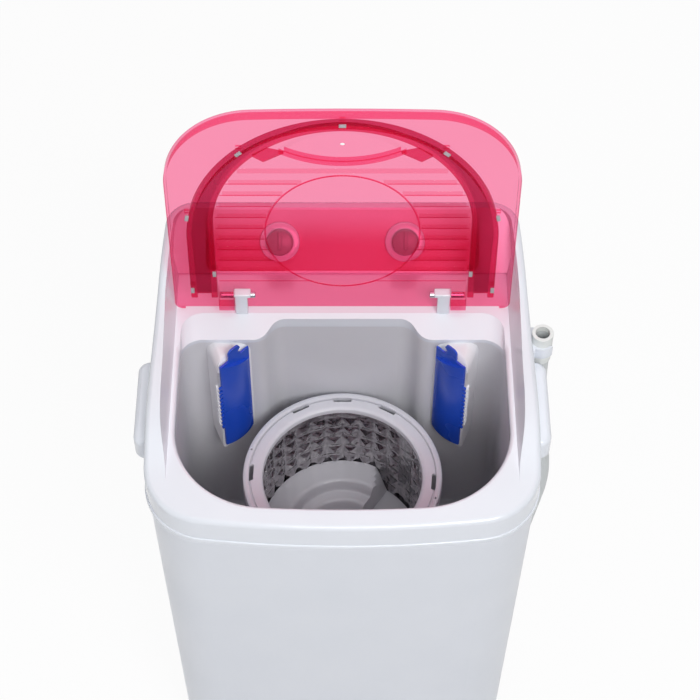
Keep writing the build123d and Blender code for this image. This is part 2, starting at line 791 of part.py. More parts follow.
export_step(lid_cover.part, "parts/lid_cover.step")

# Splash arch clipped to the inside of the lid: a channel between two ribs
arch_level = lid_inside

with BuildPart() as lid_arch:
    extrude(arch_outline(arch_level, arch_half, arch_reach), amount=-arch_depth)
    extrude(
        arch_outline(arch_level - 2, arch_half - rib_wall, arch_reach - rib_wall),
        amount=-arch_depth,
        mode=Mode.SUBTRACT,
    )
    extrude(arch_outline(arch_level, core_half, core_reach), amount=-arch_depth)
    extrude(
        arch_outline(arch_level, core_half - rib_wall, core_reach - rib_wall),
        amount=-arch_depth,
        mode=Mode.SUBTRACT,
    )
    with BuildSketch(lid_plane.offset(arch_level)):
        with Locations(*window_spots):
            Rectangle(5.6, 3.6)
    extrude(amount=-4, mode=Mode.SUBTRACT)
    with BuildSketch(lid_plane.offset(arch_level - arch_depth)):
        with Locations((0, arch_foot)):
            Rectangle(2 * lid_half, 30, align=(Align.CENTER, Align.MAX))
    extrude(amount=arch_depth, mode=Mode.SUBTRACT)
lid_arch.part.label = "lid_arch"
export_step(lid_arch.part, "parts/lid_arch.step")

# Spin basket: steel drum between a white ring and a white base
with BuildPart() as basket_drum:
    with BuildSketch(Plane.XY.offset(basket_bottom)):
        with Locations((0, axis_y)):
            Circle(drum_radius + drum_sheet)
            Circle(drum_radius, mode=Mode.SUBTRACT)
    extrude(amount=drum_top - basket_bottom)
    for row in range(5):
        with Locations(Location((0, axis_y, basket_floor + 36 + 20 * row))):
            with PolarLocations(drum_radius - 4, 16, start_angle=11.25 * (row % 2)):
                Cylinder(
                    2,
                    10,
                    rotation=(0, 90, 0),
                    align=(Align.CENTER, Align.CENTER, Align.MIN),
                    mode=Mode.SUBTRACT,
                )
basket_drum.part.label = "basket_drum"
export_step(basket_drum.part, "parts/basket_drum.step")

ring_lip = 14.0
ring_seat = 2.0
with BuildPart() as basket_ring:
    with BuildSketch(Plane.XZ.offset(-axis_y)):
        with BuildLine():
            Polyline(
                (ring_inner, basket_top - 4),
                (ring_inner + 4, basket_top - 1.5),
                (ring_radius - 8, basket_top - 1.5),
                (ring_radius - 8, basket_top),
                (ring_radius - 1.5, basket_top),
                (ring_radius, basket_top - 1.5),
                (ring_radius, basket_top - ring_lip),
                (ring_radius - 2.5, basket_top - ring_lip),
                (ring_radius - 2.5, drum_top),
                (drum_radius - seat_gap, drum_top),
                (drum_radius - seat_gap, drum_top - ring_seat),
                (ring_inner, drum_top - ring_seat),
                close=True,
            )
        make_face()
    revolve(axis=Axis((0, axis_y, 0), (0, 0, 1)))
    with BuildSketch(Plane.XY.offset(basket_top)):
        with Locations((0, axis_y)):
            with PolarLocations(ring_radius - 11.5, 8, start_angle=20):
                Rectangle(4, 16)
            with PolarLocations(ring_radius - 11.5, 8, start_angle=35):
                Circle(1.2)
    extrude(amount=-5, mode=Mode.SUBTRACT)
basket_ring.part.label = "basket_ring"
export_step(basket_ring.part, "parts/basket_ring.step")

hex_radius = 15.0
hub_radius = 24.0
hub_seat = basket_bottom + 6
lobe_rise = 38.0

with BuildPart() as basket_base:
    with BuildSketch(Plane.XY.offset(basket_bottom)):
        with Locations((0, axis_y)):
            Circle(drum_radius - seat_gap)
    extrude(amount=basket_floor - basket_bottom)
    with BuildSketch(Plane.XY.offset(basket_bottom)):
        with Locations((0, axis_y)):
            Circle(drum_radius - 5)
            Circle(hub_radius, mode=Mode.SUBTRACT)
    extrude(amount=basket_floor - basket_bottom - 4, mode=Mode.SUBTRACT)
    with BuildSketch(Plane.XY.offset(basket_bottom)):
        with Locations((0, axis_y)):
            RegularPolygon(hex_radius + 0.4, 6)
    extrude(amount=hub_seat - basket_bottom, mode=Mode.SUBTRACT)
    # Two raised lobes, opposite each other, with a step at one end
    with BuildSketch(Plane.XY.offset(basket_floor)) as lobes:
        for turn in (62, 242):
            with BuildLine():
                outer = CenterArc((0, axis_y), drum_radius - 4, turn, 125)
                Line(outer @ 1, (0.3 * (outer @ 1).X, axis_y + 0.3 * ((outer @ 1).Y - axis_y)))
                inner = CenterArc((0, axis_y), 0.3 * (drum_radius - 4), turn, 125)
                Line(inner @ 0, outer @ 0)
            make_face()
        fillet(lobes.vertices(), 10)
    extrude(amount=lobe_rise, taper=5)
    crest = basket_floor + lobe_rise
    fillet(basket_base.edges().filter_by(lambda e: abs(e.center().Z - crest) < 0.01), 4)
    with BuildSketch(Plane.XY.offset(basket_floor)):
        with Locations((0, axis_y)):
            with PolarLocations(drum_radius - 12, 6, start_angle=34):
                Circle(2.5)
            with PolarLocations(drum_radius - 12, 6, start_angle=214):
                Circle(2.5)
    extrude(amount=-6, mode=Mode.SUBTRACT)
basket_base.part.label = "basket_base"
export_step(basket_base.part, "parts/basket_base.step")

# Pulsator and the shaft that turns it
fin_top = pulsator_base + 18
with BuildPart() as pulsator:
    with BuildSketch(Plane.XY.offset(pulsator_base)):
        with Locations((0, axis_y)):
            Circle(pulsator_radius)
    extrude(amount=5)
    fillet(pulsator.edges().group_by(Axis.Z)[-1], 2)
    with BuildSketch(Plane.XY.offset(pulsator_base + 4.5)):
        with Locations((0, axis_y)):
            with PolarLocations(52, 3):
                SlotOverall(58, 12)
    extrude(amount=fin_top - pulsator_base - 4.5, taper=10)
    with BuildSketch(Plane.XY.offset(pulsator_base)):
        with Locations((0, axis_y)):
            Circle(hub_radius)
    extrude(amount=basket_bottom - pulsator_base - 1)
    with BuildSketch(Plane.XY.offset(pulsator_base)):
        with Locations((0, axis_y)):
            RegularPolygon(hex_radius, 6)
    extrude(amount=hub_seat - pulsator_base)
    # Square drive socket below and the screw well above
    with BuildSketch(Plane.XY.offset(pulsator_base)):
        with Locations((0, axis_y)):
            Rectangle(8.4, 8.4)
    extrude(amount=16, mode=Mode.SUBTRACT)
    with BuildSketch(Plane.XY.offset(pulsator_base)):
        with Locations((0, axis_y)):
            Circle(2.6)
    extrude(amount=hub_seat - pulsator_base, mode=Mode.SUBTRACT)
    with BuildSketch(Plane.XY.offset(hub_seat)):
        with Locations((0, axis_y)):
            Circle(6)
    extrude(amount=-8, mode=Mode.SUBTRACT)
    with BuildSketch(Plane.XY.offset(pulsator_base)):
        with Locations((0, axis_y)):
            with PolarLocations(pulsator_radius - 14, 12, start_angle=15):
                Circle(3)
    extrude(amount=5, mode=Mode.SUBTRACT)
pulsator.part.label = "pulsator"
export_step(pulsator.part, "parts/pulsator.step")

with BuildPart() as pulsator_screw:
    with BuildSketch(Plane.XY.offset(hub_seat - 8)):
        with Locations((0, axis_y)):
            Circle(5.2)
    extrude(amount=3)
    with BuildSketch(Plane.XY.offset(hub_seat - 8)):
        with Locations((0, axis_y)):
            Circle(2.4)
    extrude(amount=-18)
    with BuildSketch(Plane.XY.offset(hub_seat - 5)):
        with Locations((0, axis_y)):
            Rectangle(6, 1.2)
            Rectangle(1.2, 6)
    extrude(amount=-1.5, mode=Mode.SUBTRACT)
pulsator_screw.part.label = "pulsator_screw"
export_step(pulsator_screw.part, "parts/pulsator_screw.step")

shaft_foot = pulley_bottom - 14
with BuildPart() as drive_shaft:
    with BuildSketch(Plane.XY.offset(shaft_foot)):
        with Locations((0, axis_y)):
            Circle(shaft_radius)
    extrude(amount=pulsator_base - 1 - shaft_foot)
    with BuildSketch(Plane.XY.offset(pulsator_base - 1)):
        with Locations((0, axis_y)):
            Rectangle(8.2, 8.2)
    extrude(amount=16.5)
    with BuildSketch(Plane.XY.offset(pulsator_base + 15.5)):
        with Locations((0, axis_y)):
            Circle(2.5)
    extrude(amount=-12, mode=Mode.SUBTRACT)
drive_shaft.part.label = "drive_shaft"
export_step(drive_shaft.part, "parts/drive_shaft.step")

# Bearing housing under the tub, with two bushes and a lip seal
housing_foot = 122.0
bush_radius = 11.0
bush_height = 16.0
seal_height = 8.0

with BuildPart() as bearing_housing:
    with BuildSketch(Plane.XY.offset(tub_underside)):
        with Locations((0, axis_y)):
            Circle(bearing_radius)
    extrude(amount=-5)
    with BuildSketch(Plane.XY.offset(tub_underside)):
        with Locations((0, axis_y)):
            Circle(bush_radius + 5)
    extrude(amount=housing_foot - tub_underside)
    with BuildSketch(Plane.XY.offset(tub_underside)):
        with Locations((0, axis_y)):
            Circle(bush_radius + 2.8)
    extrude(amount=tub_wall)
    with BuildSketch(Plane.XY.offset(housing_foot)):
        with Locations((0, axis_y)):
            Circle(bush_radius)
    extrude(amount=bush_height, mode=Mode.SUBTRACT)
    with BuildSketch(Plane.XY.offset(housing_foot)):
        with Locations((0, axis_y)):
            Circle(shaft_radius + 2)
    extrude(amount=tub_floor_z - housing_foot, mode=Mode.SUBTRACT)
    with BuildSketch(Plane.XY.offset(tub_floor_z)):
        with Locations((0, axis_y)):
            Circle(bush_radius)
    extrude(amount=-bush_height - seal_height, mode=Mode.SUBTRACT)
    with BuildSketch(Plane.XY.offset(tub_underside - 5)):
        with Locations((0, axis_y)):
            with PolarLocations(housing_bolt_circle, 4):
                Circle(2.1)
    extrude(amount=6, mode=Mode.SUBTRACT)
    # Webs between the flange and the sleeve
    with BuildSketch(Plane.XY.offset(tub_underside - 5)):
        with Locations((0, axis_y)):
            with PolarLocations(bush_radius + 9, 4, start_angle=45):
                Rectangle(10, 4)
    extrude(amount=-30)
bearing_housing.part.label = "bearing_housing"
export_step(bearing_housing.part, "parts/bearing_housing.step")

bush_levels = (housing_foot, tub_floor_z - seal_height - bush_height)
with BuildPart() as shaft_bushes:
    for level in bush_levels:
        with BuildSketch(Plane.XY.offset(level)):
            with Locations((0, axis_y)):
                Circle(bush_radius)
                Circle(shaft_radius + running_gap, mode=Mode.SUBTRACT)
        extrude(amount=bush_height)
shaft_bushes.part.label = "shaft_bushes"
export_step(shaft_bushes.part, "parts/shaft_bushes.step")

with BuildPart() as shaft_seal:
    with BuildSketch(Plane.XY.offset(tub_floor_z - seal_height)):
        with Locations((0, axis_y)):
            Circle(bush_radius)
            Circle(shaft_radius + running_gap, mode=Mode.SUBTRACT)
    extrude(amount=seal_height)
shaft_seal.part.label = "shaft_seal"
export_step(shaft_seal.part, "parts/shaft_seal.step")

with BuildPart() as housing_bolts:
    with BuildSketch(Plane.XY.offset(tub_underside - 5)):
        with Locations((0, axis_y)):
            with PolarLocations(housing_bolt_circle, 4):
                Circle(2.0)
    extrude(amount=5 + tub_wall)
    with BuildSketch(Plane.XY.offset(tub_floor_z)):
        with Locations((0, axis_y)):
            with PolarLocations(housing_bolt_circle, 4):
                Circle(3.6)
    extrude(amount=1.8)
    with BuildSketch(Plane.XY.offset(tub_underside - 5)):
        with Locations((0, axis_y)):
            with PolarLocations(housing_bolt_circle, 4):
                RegularPolygon(4, 6)
    extrude(amount=-3)
housing_bolts.part.label = "housing_bolts"
export_step(housing_bolts.part, "parts/housing_bolts.step")

# Belt drive
groove_depth = 3.0
groove_low = pulley_bottom + 3
groove_height = pulley_height - 6
belt_thick = 4.5

with BuildPart() as drive_pulley:
    with BuildSketch(Plane.XY.offset(pulley_bottom)):
        with Locations((0, axis_y)):
            Circle(drive_pulley_radius + groove_depth)
    extrude(amount=pulley_height)
    with BuildSketch(Plane.XY.offset(groove_low)):
        with Locations((0, axis_y)):
            Circle(drive_pulley_radius + groove_depth + 1)
            Circle(drive_pulley_radius, mode=Mode.SUBTRACT)
    extrude(amount=groove_height, mode=Mode.SUBTRACT)
    with BuildSketch(Plane.XY.offset(pulley_bottom)):
        with Locations((0, axis_y)):
            with PolarLocations(43, 6):
                Circle(15)
            Circle(shaft_radius)
    extrude(amount=pulley_height, mode=Mode.SUBTRACT)
drive_pulley.part.label = "drive_pulley"
export_step(drive_pulley.part, "parts/drive_pulley.step")

with BuildPart() as pulley_nut:
    with BuildSketch(Plane.XY.offset(pulley_bottom)):
        with Locations((0, axis_y)):
            RegularPolygon(11, 6)
            Circle(shaft_radius, mode=Mode.SUBTRACT)
    extrude(amount=-8)
pulley_nut.part.label = "pulley_nut"
export_step(pulley_nut.part, "parts/pulley_nut.step")

motor_shaft_radius = 5.0
motor_top = motor_bottom + motor_height
with BuildPart() as motor_pulley:
    with BuildSketch(Plane.XY.offset(pulley_bottom)):
        with Locations((motor_x, motor_y)):
            Circle(motor_pulley_radius + groove_depth)
    extrude(amount=pulley_height)
    with BuildSketch(Plane.XY.offset(groove_low)):
        with Locations((motor_x, motor_y)):
            Circle(motor_pulley_radius + groove_depth + 1)
            Circle(motor_pulley_radius, mode=Mode.SUBTRACT)
    extrude(amount=groove_height, mode=Mode.SUBTRACT)
    with BuildSketch(Plane.XY.offset(pulley_bottom)):
        with Locations((motor_x, motor_y)):
            Circle(motor_shaft_radius)
    extrude(amount=pulley_height, mode=Mode.SUBTRACT)
motor_pulley.part.label = "motor_pulley"
export_step(motor_pulley.part, "parts/motor_pulley.step")

with BuildPart() as motor_shaft:
    with BuildSketch(Plane.XY.offset(pulley_bottom - 4)):
        with Locations((motor_x, motor_y)):
            Circle(motor_shaft_radius)
    extrude(amount=motor_bottom + 30 - pulley_bottom + 4)
    with BuildSketch(Plane.XY.offset(motor_bottom - 9)):
        with Locations((motor_x, motor_y)):
            Circle(26)
    extrude(amount=4)
motor_shaft.part.label = "motor_shaft"
export_step(motor_shaft.part, "parts/motor_shaft.step")

with BuildPart() as drive_belt:
    with BuildSketch(Plane.XY.offset(groove_low + 0.5)):
        with Locations((0, axis_y)):
            Circle(drive_pulley_radius + seat_gap + belt_thick)
        with Locations((motor_x, motor_y)):
            Circle(motor_pulley_radius + seat_gap + belt_thick)
        make_hull()
    with BuildSketch(Plane.XY.offset(groove_low + 0.5), mode=Mode.PRIVATE) as loop_inside:
        with Locations((0, axis_y)):
            Circle(drive_pulley_radius + seat_gap)
        with Locations((motor_x, motor_y)):
            Circle(motor_pulley_radius + seat_gap)
        make_hull()
    extrude(amount=groove_height - 1)
    extrude(loop_inside.sketch, amount=groove_height - 1, mode=Mode.SUBTRACT)
drive_belt.part.label = "drive_belt"
export_step(drive_belt.part, "parts/drive_belt.step")

# Motor, hung under the tub floor on three rubber mounts
with BuildPart() as motor_housing:
    with BuildSketch(Plane.XY.offset(motor_bottom)):
        with Locations((motor_x, motor_y)):
            Circle(motor_radius)
    extrude(amount=motor_height)
    fillet(motor_housing.edges().filter_by(GeomType.CIRCLE), 6)
    with BuildSketch(Plane.XY.offset(motor_bottom + 14)):
        with Locations((motor_x, motor_y)):
            Circle(motor_radius + 1)
            Circle(motor_radius - 3, mode=Mode.SUBTRACT)
            with PolarLocations(motor_radius, 8):
                Rectangle(14, 14, mode=Mode.SUBTRACT)
    extrude(amount=motor_height - 28, mode=Mode.SUBTRACT)
    with BuildSketch(Plane.XY.offset(motor_bottom)):
        with Locations((motor_x, motor_y)):
            Circle(motor_shaft_radius + running_gap)
    extrude(amount=34, mode=Mode.SUBTRACT)
motor_housing.part.label = "motor_housing"
export_step(motor_housing.part, "parts/motor_housing.step")

with BuildPart() as motor_bracket:
    with BuildSketch(Plane.XY.offset(motor_top)):
        with Locations((motor_x, motor_y)):
            Circle(36)
        with Locations(*mount_points):
            Circle(11)
        make_hull()
    extrude(amount=3)
    with BuildSketch(Plane.XY.offset(motor_top)):
        with Locations(*mount_points):
            Circle(2.6)
    extrude(amount=3, mode=Mode.SUBTRACT)
motor_bracket.part.label = "motor_bracket"
export_step(motor_bracket.part, "parts/motor_bracket.step")

with BuildPart() as motor_mounts:
    with BuildSketch(Plane.XY.offset(motor_top + 3)):
        with Locations(*mount_points):
            Circle(9)
            Circle(2.6, mode=Mode.SUBTRACT)
    extrude(amount=tub_underside - motor_top - 3)
motor_mounts.part.label = "motor_mounts"
export_step(motor_mounts.part, "parts/motor_mounts.step")

with BuildPart() as motor_bolts:
    with BuildSketch(Plane.XY.offset(motor_top)):
        with Locations(*mount_points):
            Circle(2.5)
    extrude(amount=tub_floor_z - motor_top)
    with BuildSketch(Plane.XY.offset(tub_floor_z)):
        with Locations(*mount_points):
            Circle(5)
    extrude(amount=2)
    with BuildSketch(Plane.XY.offset(motor_top)):
        with Locations(*mount_points):
            RegularPolygon(4.6, 6)
    extrude(amount=-3.5)
motor_bolts.part.label = "motor_bolts"
export_step(motor_bolts.part, "parts/motor_bolts.step")

# Drain: grille, pipe under the tub, elbow through the cabinet wall
pipe_radius = 14.0
pipe_bend = 32.0
pipe_end_x = outlet_wall - cabinet_wall - 3

with BuildPart() as drain_grille:
    with BuildSketch(Plane.XY.offset(tub_floor_z)):
        with Locations((drain_x, drain_y)):
            Circle(15)
    extrude(amount=2.5)
    fillet(drain_grille.edges().group_by(Axis.Z)[-1], 1)
    with BuildSketch(Plane.XY.offset(tub_floor_z)):
        with Locations((drain_x, drain_y)):
            with GridLocations(0, 5, 1, 5):
                SlotOverall(17, 2.4)
    extrude(amount=2.5, mode=Mode.SUBTRACT)
drain_grille.part.label = "drain_grille"
export_step(drain_grille.part, "parts/drain_grille.step")

with BuildPart() as drain_pipe:
    with BuildLine() as pipe_route:
        FilletPolyline(
            (drain_x, drain_y, tub_underside),
            (drain_x, drain_y, outlet_z),
            (pipe_end_x, drain_y, outlet_z),
            radius=pipe_bend,
        )
    with BuildSketch(Plane.XY.offset(tub_underside) * Location((drain_x, drain_y, 0))):
        Circle(pipe_radius)
        Circle(pipe_bore, mode=Mode.SUBTRACT)
    sweep(path=pipe_route.wires()[0])
    with BuildSketch(Plane.XY.offset(tub_underside)):
        with Locations((drain_x, drain_y)):
            Circle(18)
            Circle(pipe_bore, mode=Mode.SUBTRACT)
    extrude(amount=-3)
drain_pipe.part.label = "drain_pipe"
export_step(drain_pipe.part, "parts/drain_pipe.step")

elbow_radius = 11.4
elbow_bore = 5.6
spigot_radius = hose_bore - 0.1
elbow_bend = 13.0
spigot_top = outlet_z + 34
hose_foot = outlet_z + 22

with BuildPart() as drain_elbow:
    with BuildLine() as elbow_route:
        FilletPolyline(
            (outlet_wall - 2, drain_y, outlet_z),
            (hose_foot_x, drain_y, outlet_z),
            (hose_foot_x, drain_y, hose_foot),
            radius=elbow_bend,
        )
    with BuildSketch(Plane.YZ.offset(outlet_wall - 2)):
        with Locations((drain_y, outlet_z)):
            Circle(hose_radius)
    sweep(path=elbow_route.wires()[0])
    with BuildSketch(Plane.YZ.offset(outlet_wall - 22)):
        with Locations((drain_y, outlet_z)):
            Circle(elbow_radius)
    extrude(amount=22)
    with BuildSketch(outlet_plane):
        Circle(outlet_radius + 6)
    extrude(amount=3)
    with BuildSketch(Plane.XY.offset(hose_foot)):
        with Locations((hose_foot_x, drain_y)):
            Circle(spigot_radius)
    extrude(amount=spigot_top - hose_foot)
    with BuildLine() as bore_route:
        FilletPolyline(
            (outlet_wall - 22, drain_y, outlet_z),
            (hose_foot_x, drain_y, outlet_z),
            (hose_foot_x, drain_y, spigot_top),
            radius=elbow_bend,
        )
    with BuildSketch(Plane.YZ.offset(outlet_wall - 22)):
        with Locations((drain_y, outlet_z)):
            Circle(elbow_bore)
    sweep(path=bore_route.wires()[0], mode=Mode.SUBTRACT)
drain_elbow.part.label = "drain_elbow"
export_step(drain_elbow.part, "parts/drain_elbow.step")

# Drain hose: up from the elbow, bowed out past the handle, into the cuff in its clip
cuff_bottom = cuff_top - cuff_length
hose_top = cuff_top - 6
hose_top_x = frame_side(hose_top_y) + hose_top_out
hose_turns = [
    (hose_foot_x, drain_y, hose_foot),
    (hose_foot_x, drain_y, spigot_top + 26),
    (hose_bow_x, (drain_y + hose_top_y) / 2, 0.5 * (hose_foot + cuff_bottom) - 10),
    (hose_top_x, hose_top_y, cuff_bottom - 30),
    (hose_top_x, hose_top_y, hose_top),
]

with BuildPart() as drain_hose:
    with BuildLine() as hose_route:
        FilletPolyline(*hose_turns, radius=260)
    with BuildSketch(Plane.XY.offset(hose_foot)):
        with Locations((hose_foot_x, drain_y)):
            Circle(hose_radius)
            Circle(hose_bore, mode=Mode.SUBTRACT)
    sweep(path=hose_route.wires()[0])
drain_hose.part.label = "drain_hose"
export_step(drain_hose.part, "parts/drain_hose.step")
hose_length = hose_route.wires()[0].length
hose_section = pi * (hose_radius**2 - hose_bore**2)
print("hose length", hose_length, "volume ratio", drain_hose.part.volume / (hose_section * hose_length))

with BuildPart() as hose_clamp:
    with BuildSketch(Plane.XY.offset(hose_foot + 6)):
        with Locations((hose_foot_x, drain_y)):
            Circle(hose_radius + 1.4)
        with Locations((hose_foot_x, drain_y - hose_radius - 3)):
            Rectangle(5, 8)
        with Locations((hose_foot_x, drain_y)):
            Circle(hose_radius, mode=Mode.SUBTRACT)
    extrude(amount=9)
hose_clamp.part.label = "hose_clamp"
export_step(hose_clamp.part, "parts/hose_clamp.step")

with BuildPart() as hose_cuff:
    with BuildSketch(Plane.XY.offset(cuff_bottom)):
        with Locations((hose_top_x, hose_top_y)):
            Circle(cuff_radius)
    extrude(amount=cuff_length)
    fillet(hose_cuff.edges().group_by(Axis.Z)[-1], 0.6)
    fillet(hose_cuff.edges().group_by(Axis.Z)[0], 0.6)
    with BuildSketch(Plane.XY.offset(cuff_bottom)):
        with Locations((hose_top_x, hose_top_y)):
            Circle(hose_radius)
    extrude(amount=hose_top - cuff_bottom, mode=Mode.SUBTRACT)
    with BuildSketch(Plane.XY.offset(cuff_bottom)):
        with Locations((hose_top_x, hose_top_y)):
            Circle(hose_bore)
    extrude(amount=cuff_length, mode=Mode.SUBTRACT)
hose_cuff.part.label = "hose_cuff"
export_step(hose_cuff.part, "parts/hose_cuff.step")

clip_low = ledge_height - 4
clip_height = 14.0
clip_gap = 0.1
with BuildPart() as hose_clip:
    with BuildSketch(Plane.XY.offset(clip_low)):
        with Locations((hose_top_x, hose_top_y)):
            Circle(cuff_radius + clip_gap + 2.4)
        with Locations((frame_side(hose_top_y) + 4, hose_top_y)):
            Rectangle(10, 30, align=(Align.MAX, Align.CENTER))
        with Locations((hose_top_x, hose_top_y)):
            Circle(cuff_radius + clip_gap, mode=Mode.SUBTRACT)
        with Locations((hose_top_x + 5, hose_top_y)):
            Rectangle(20, 16, align=(Align.MIN, Align.CENTER), mode=Mode.SUBTRACT)
        add(rim_outline(clip_low, 0), mode=Mode.SUBTRACT)
    extrude(amount=clip_height)
hose_clip.part.label = "hose_clip"
export_step(hose_clip.part, "parts/hose_clip.step")

# Timer and selector behind the console, with their knobs in front
control_depth = 18.0
selector_depth = 26.0
with BuildPart() as timer_body:
    with BuildSketch(console_face.offset(-4.5)):
        with Locations((knob_x, 0)):
            Rectangle(36, 28)
    extrude(amount=-control_depth)
    with BuildSketch(console_face.offset(-4.5)):
        with Locations((knob_x, 0)):
            Circle(spindle_radius + running_gap)
    extrude(amount=-12, mode=Mode.SUBTRACT)
timer_body.part.label = "timer_body"
export_step(timer_body.part, "parts/timer_body.step")

with BuildPart() as selector_body:
    with BuildSketch(console_face.offset(-4.5)):
        with Locations((-knob_x, 0)):
            Rectangle(30, selector_depth)
    extrude(amount=-control_depth + 2)
    with BuildSketch(console_face.offset(-4.5)):
        with Locations((-knob_x, 0)):
            Circle(spindle_radius + running_gap)
    extrude(amount=-12, mode=Mode.SUBTRACT)
selector_body.part.label = "selector_body"
export_step(selector_body.part, "parts/selector_body.step")

knob_gap = 1.0
knob_skirt = 5.0
knob_height = 16.0
for piece, place in (("timer_knob", knob_x), ("selector_knob", -knob_x)):
    with BuildPart() as knob:
        with BuildSketch(console_face.offset(knob_gap)):
            with Locations((place, 0)):
                Circle(knob_radius)
        extrude(amount=knob_skirt)
        with BuildSketch(console_face.offset(knob_gap)):
            with Locations((place, 0)):
                Circle(cap_radius)
        extrude(amount=knob_height)
        fillet(knob.edges().filter_by(GeomType.CIRCLE), 1.2)
        with BuildSketch(console_face.offset(knob_gap + knob_height - 0.01)):
            with Locations((place, 2)):
                SlotOverall(2 * cap_radius - 8, 3.4, rotation=90)
        extrude(amount=2)
        with BuildSketch(console_face.offset(knob_gap + 2)):
            with Locations((place, 0)):
                Circle(spindle_radius)
        extrude(amount=-knob_gap - 2 - 14)
    knob.part.label = piece
    export_step(knob.part, "parts/" + piece + ".step")

# Capacitor on the base plate, wiring loom down the back, cord gland
capacitor_x = 80.0
capacitor_y = 110.0
with BuildPart() as capacitor:
    with BuildSketch(Plane.XY.offset(cabinet_bottom)):
        with Locations((capacitor_x, capacitor_y)):
            Circle(18)
    extrude(amount=58)
    fillet(capacitor.edges().group_by(Axis.Z)[-1], 3)
    with BuildSketch(Plane.XY.offset(cabinet_bottom + 58)):
        with Locations((capacitor_x, capacitor_y)):
            with GridLocations(14, 0, 2, 1):
                Rectangle(6, 1)
    extrude(amount=9)
capacitor.part.label = "capacitor"
export_step(capacitor.part, "parts/capacitor.step")

with BuildPart() as capacitor_strap:
    with BuildSketch(Plane.XY.offset(cabinet_bottom + 22)):
        with Locations((capacitor_x, capacitor_y)):
            Circle(19.5)
            Circle(18, mode=Mode.SUBTRACT)
    extrude(amount=12)
    with BuildSketch(Plane.XY.offset(cabinet_bottom)):
        with Locations((capacitor_x + 19, capacitor_y)):
            Rectangle(3, 14, align=(Align.MIN, Align.CENTER))
    extrude(amount=34)
    with BuildSketch(Plane.XY.offset(cabinet_bottom)):
        with Locations((capacitor_x + 19, capacitor_y)):
            Rectangle(16, 14, align=(Align.MIN, Align.CENTER))
    extrude(amount=2)
capacitor_strap.part.label = "capacitor_strap"
export_step(capacitor_strap.part, "parts/capacitor_strap.step")

loom_radius = 3.5
loom_x = -40.0
loom_drop = 30.0
loom_level = motor_bottom + motor_height / 2
tub_back = recess_y + tub_margin + tub_wall
loom_y = tub_back + loom_radius + 2.5
loom_start = console_face.from_local_coords(Vector(-knob_x, -selector_depth / 2, -4.5 - control_depth + 2))
loom_clip_levels = (420.0, 330.0, 240.0)
loom_turns = [
    (-knob_x, loom_start.Y - 1, loom_start.Z),
    (-knob_x, loom_start.Y - 1, flange_z - loom_drop),
    (loom_x, loom_y, flange_z - loom_drop),
    (loom_x, loom_y, loom_level),
    (motor_x, loom_y, loom_level),
    (motor_x, motor_y + motor_radius, loom_level),
]

with BuildPart() as wiring_loom:
    with BuildLine() as loom_route:
        FilletPolyline(*loom_turns, radius=14)
    with BuildSketch(Plane.XY.offset(loom_start.Z)):
        with Locations((-knob_x, loom_start.Y - 1)):
            Circle(loom_radius)
    sweep(path=loom_route.wires()[0])
wiring_loom.part.label = "wiring_loom"
export_step(wiring_loom.part, "parts/wiring_loom.step")
loom_length = loom_route.wires()[0].length
print("loom length", loom_length, "volume ratio", wiring_loom.part.volume / (pi * loom_radius**2 * loom_length))

with BuildPart() as loom_clips:
    for level in loom_clip_levels:
        with BuildSketch(Plane.XY.offset(level)):
            with Locations((loom_x, tub_back)):
                Rectangle(12, loom_y - tub_back + 5, align=(Align.CENTER, Align.MIN))
            with Locations((loom_x, loom_y)):
                Circle(loom_radius, mode=Mode.SUBTRACT)
        extrude(amount=9)
loom_clips.part.label = "loom_clips"
export_step(loom_clips.part, "parts/loom_clips.step")

gland_bore = 3.6
with BuildPart() as cord_gland:
    with BuildSketch(gland_plane):
        Circle(gland_radius + 4)
    extrude(amount=4)
    with BuildSketch(gland_plane):
        Circle(gland_radius)
    extrude(amount=-cabinet_wall - 2)
    with BuildSketch(gland_plane.offset(4)):
        Circle(gland_radius - 1)
    extrude(amount=16, taper=5)
    with BuildSketch(gland_plane.offset(20)):
        Circle(gland_bore)
    extrude(amount=-30, mode=Mode.SUBTRACT)
cord_gland.part.label = "cord_gland"
export_step(cord_gland.part, "parts/cord_gland.step")

# Lint filters: a wedge housing on each shoulder wall with a blue cassette on its face
tub_shoulder = shoulder_y + tub_margin
face_sum = housing_inner_x + tub_shoulder
tip_x = housing_inner_x + 31.5
tip_y = face_sum - tip_x
housing_top = flange_z - seat_gap
housing_bottom = filter_top - filter_height - 7
face_mid_x = housing_inner_x + 3 + filter_width / 2 * cos(radians(45))
face_mid_y = face_sum - face_mid_x
face_edge = (tip_x - face_mid_x) / cos(radians(45))
housing_round = 20.0
filter_foot = filter_top - filter_height
filter_plane = Plane(
    origin=(face_mid_x, face_mid_y, filter_foot),
    x_dir=(1, -1, 0),
    z_dir=(-1, -1, 0),
)

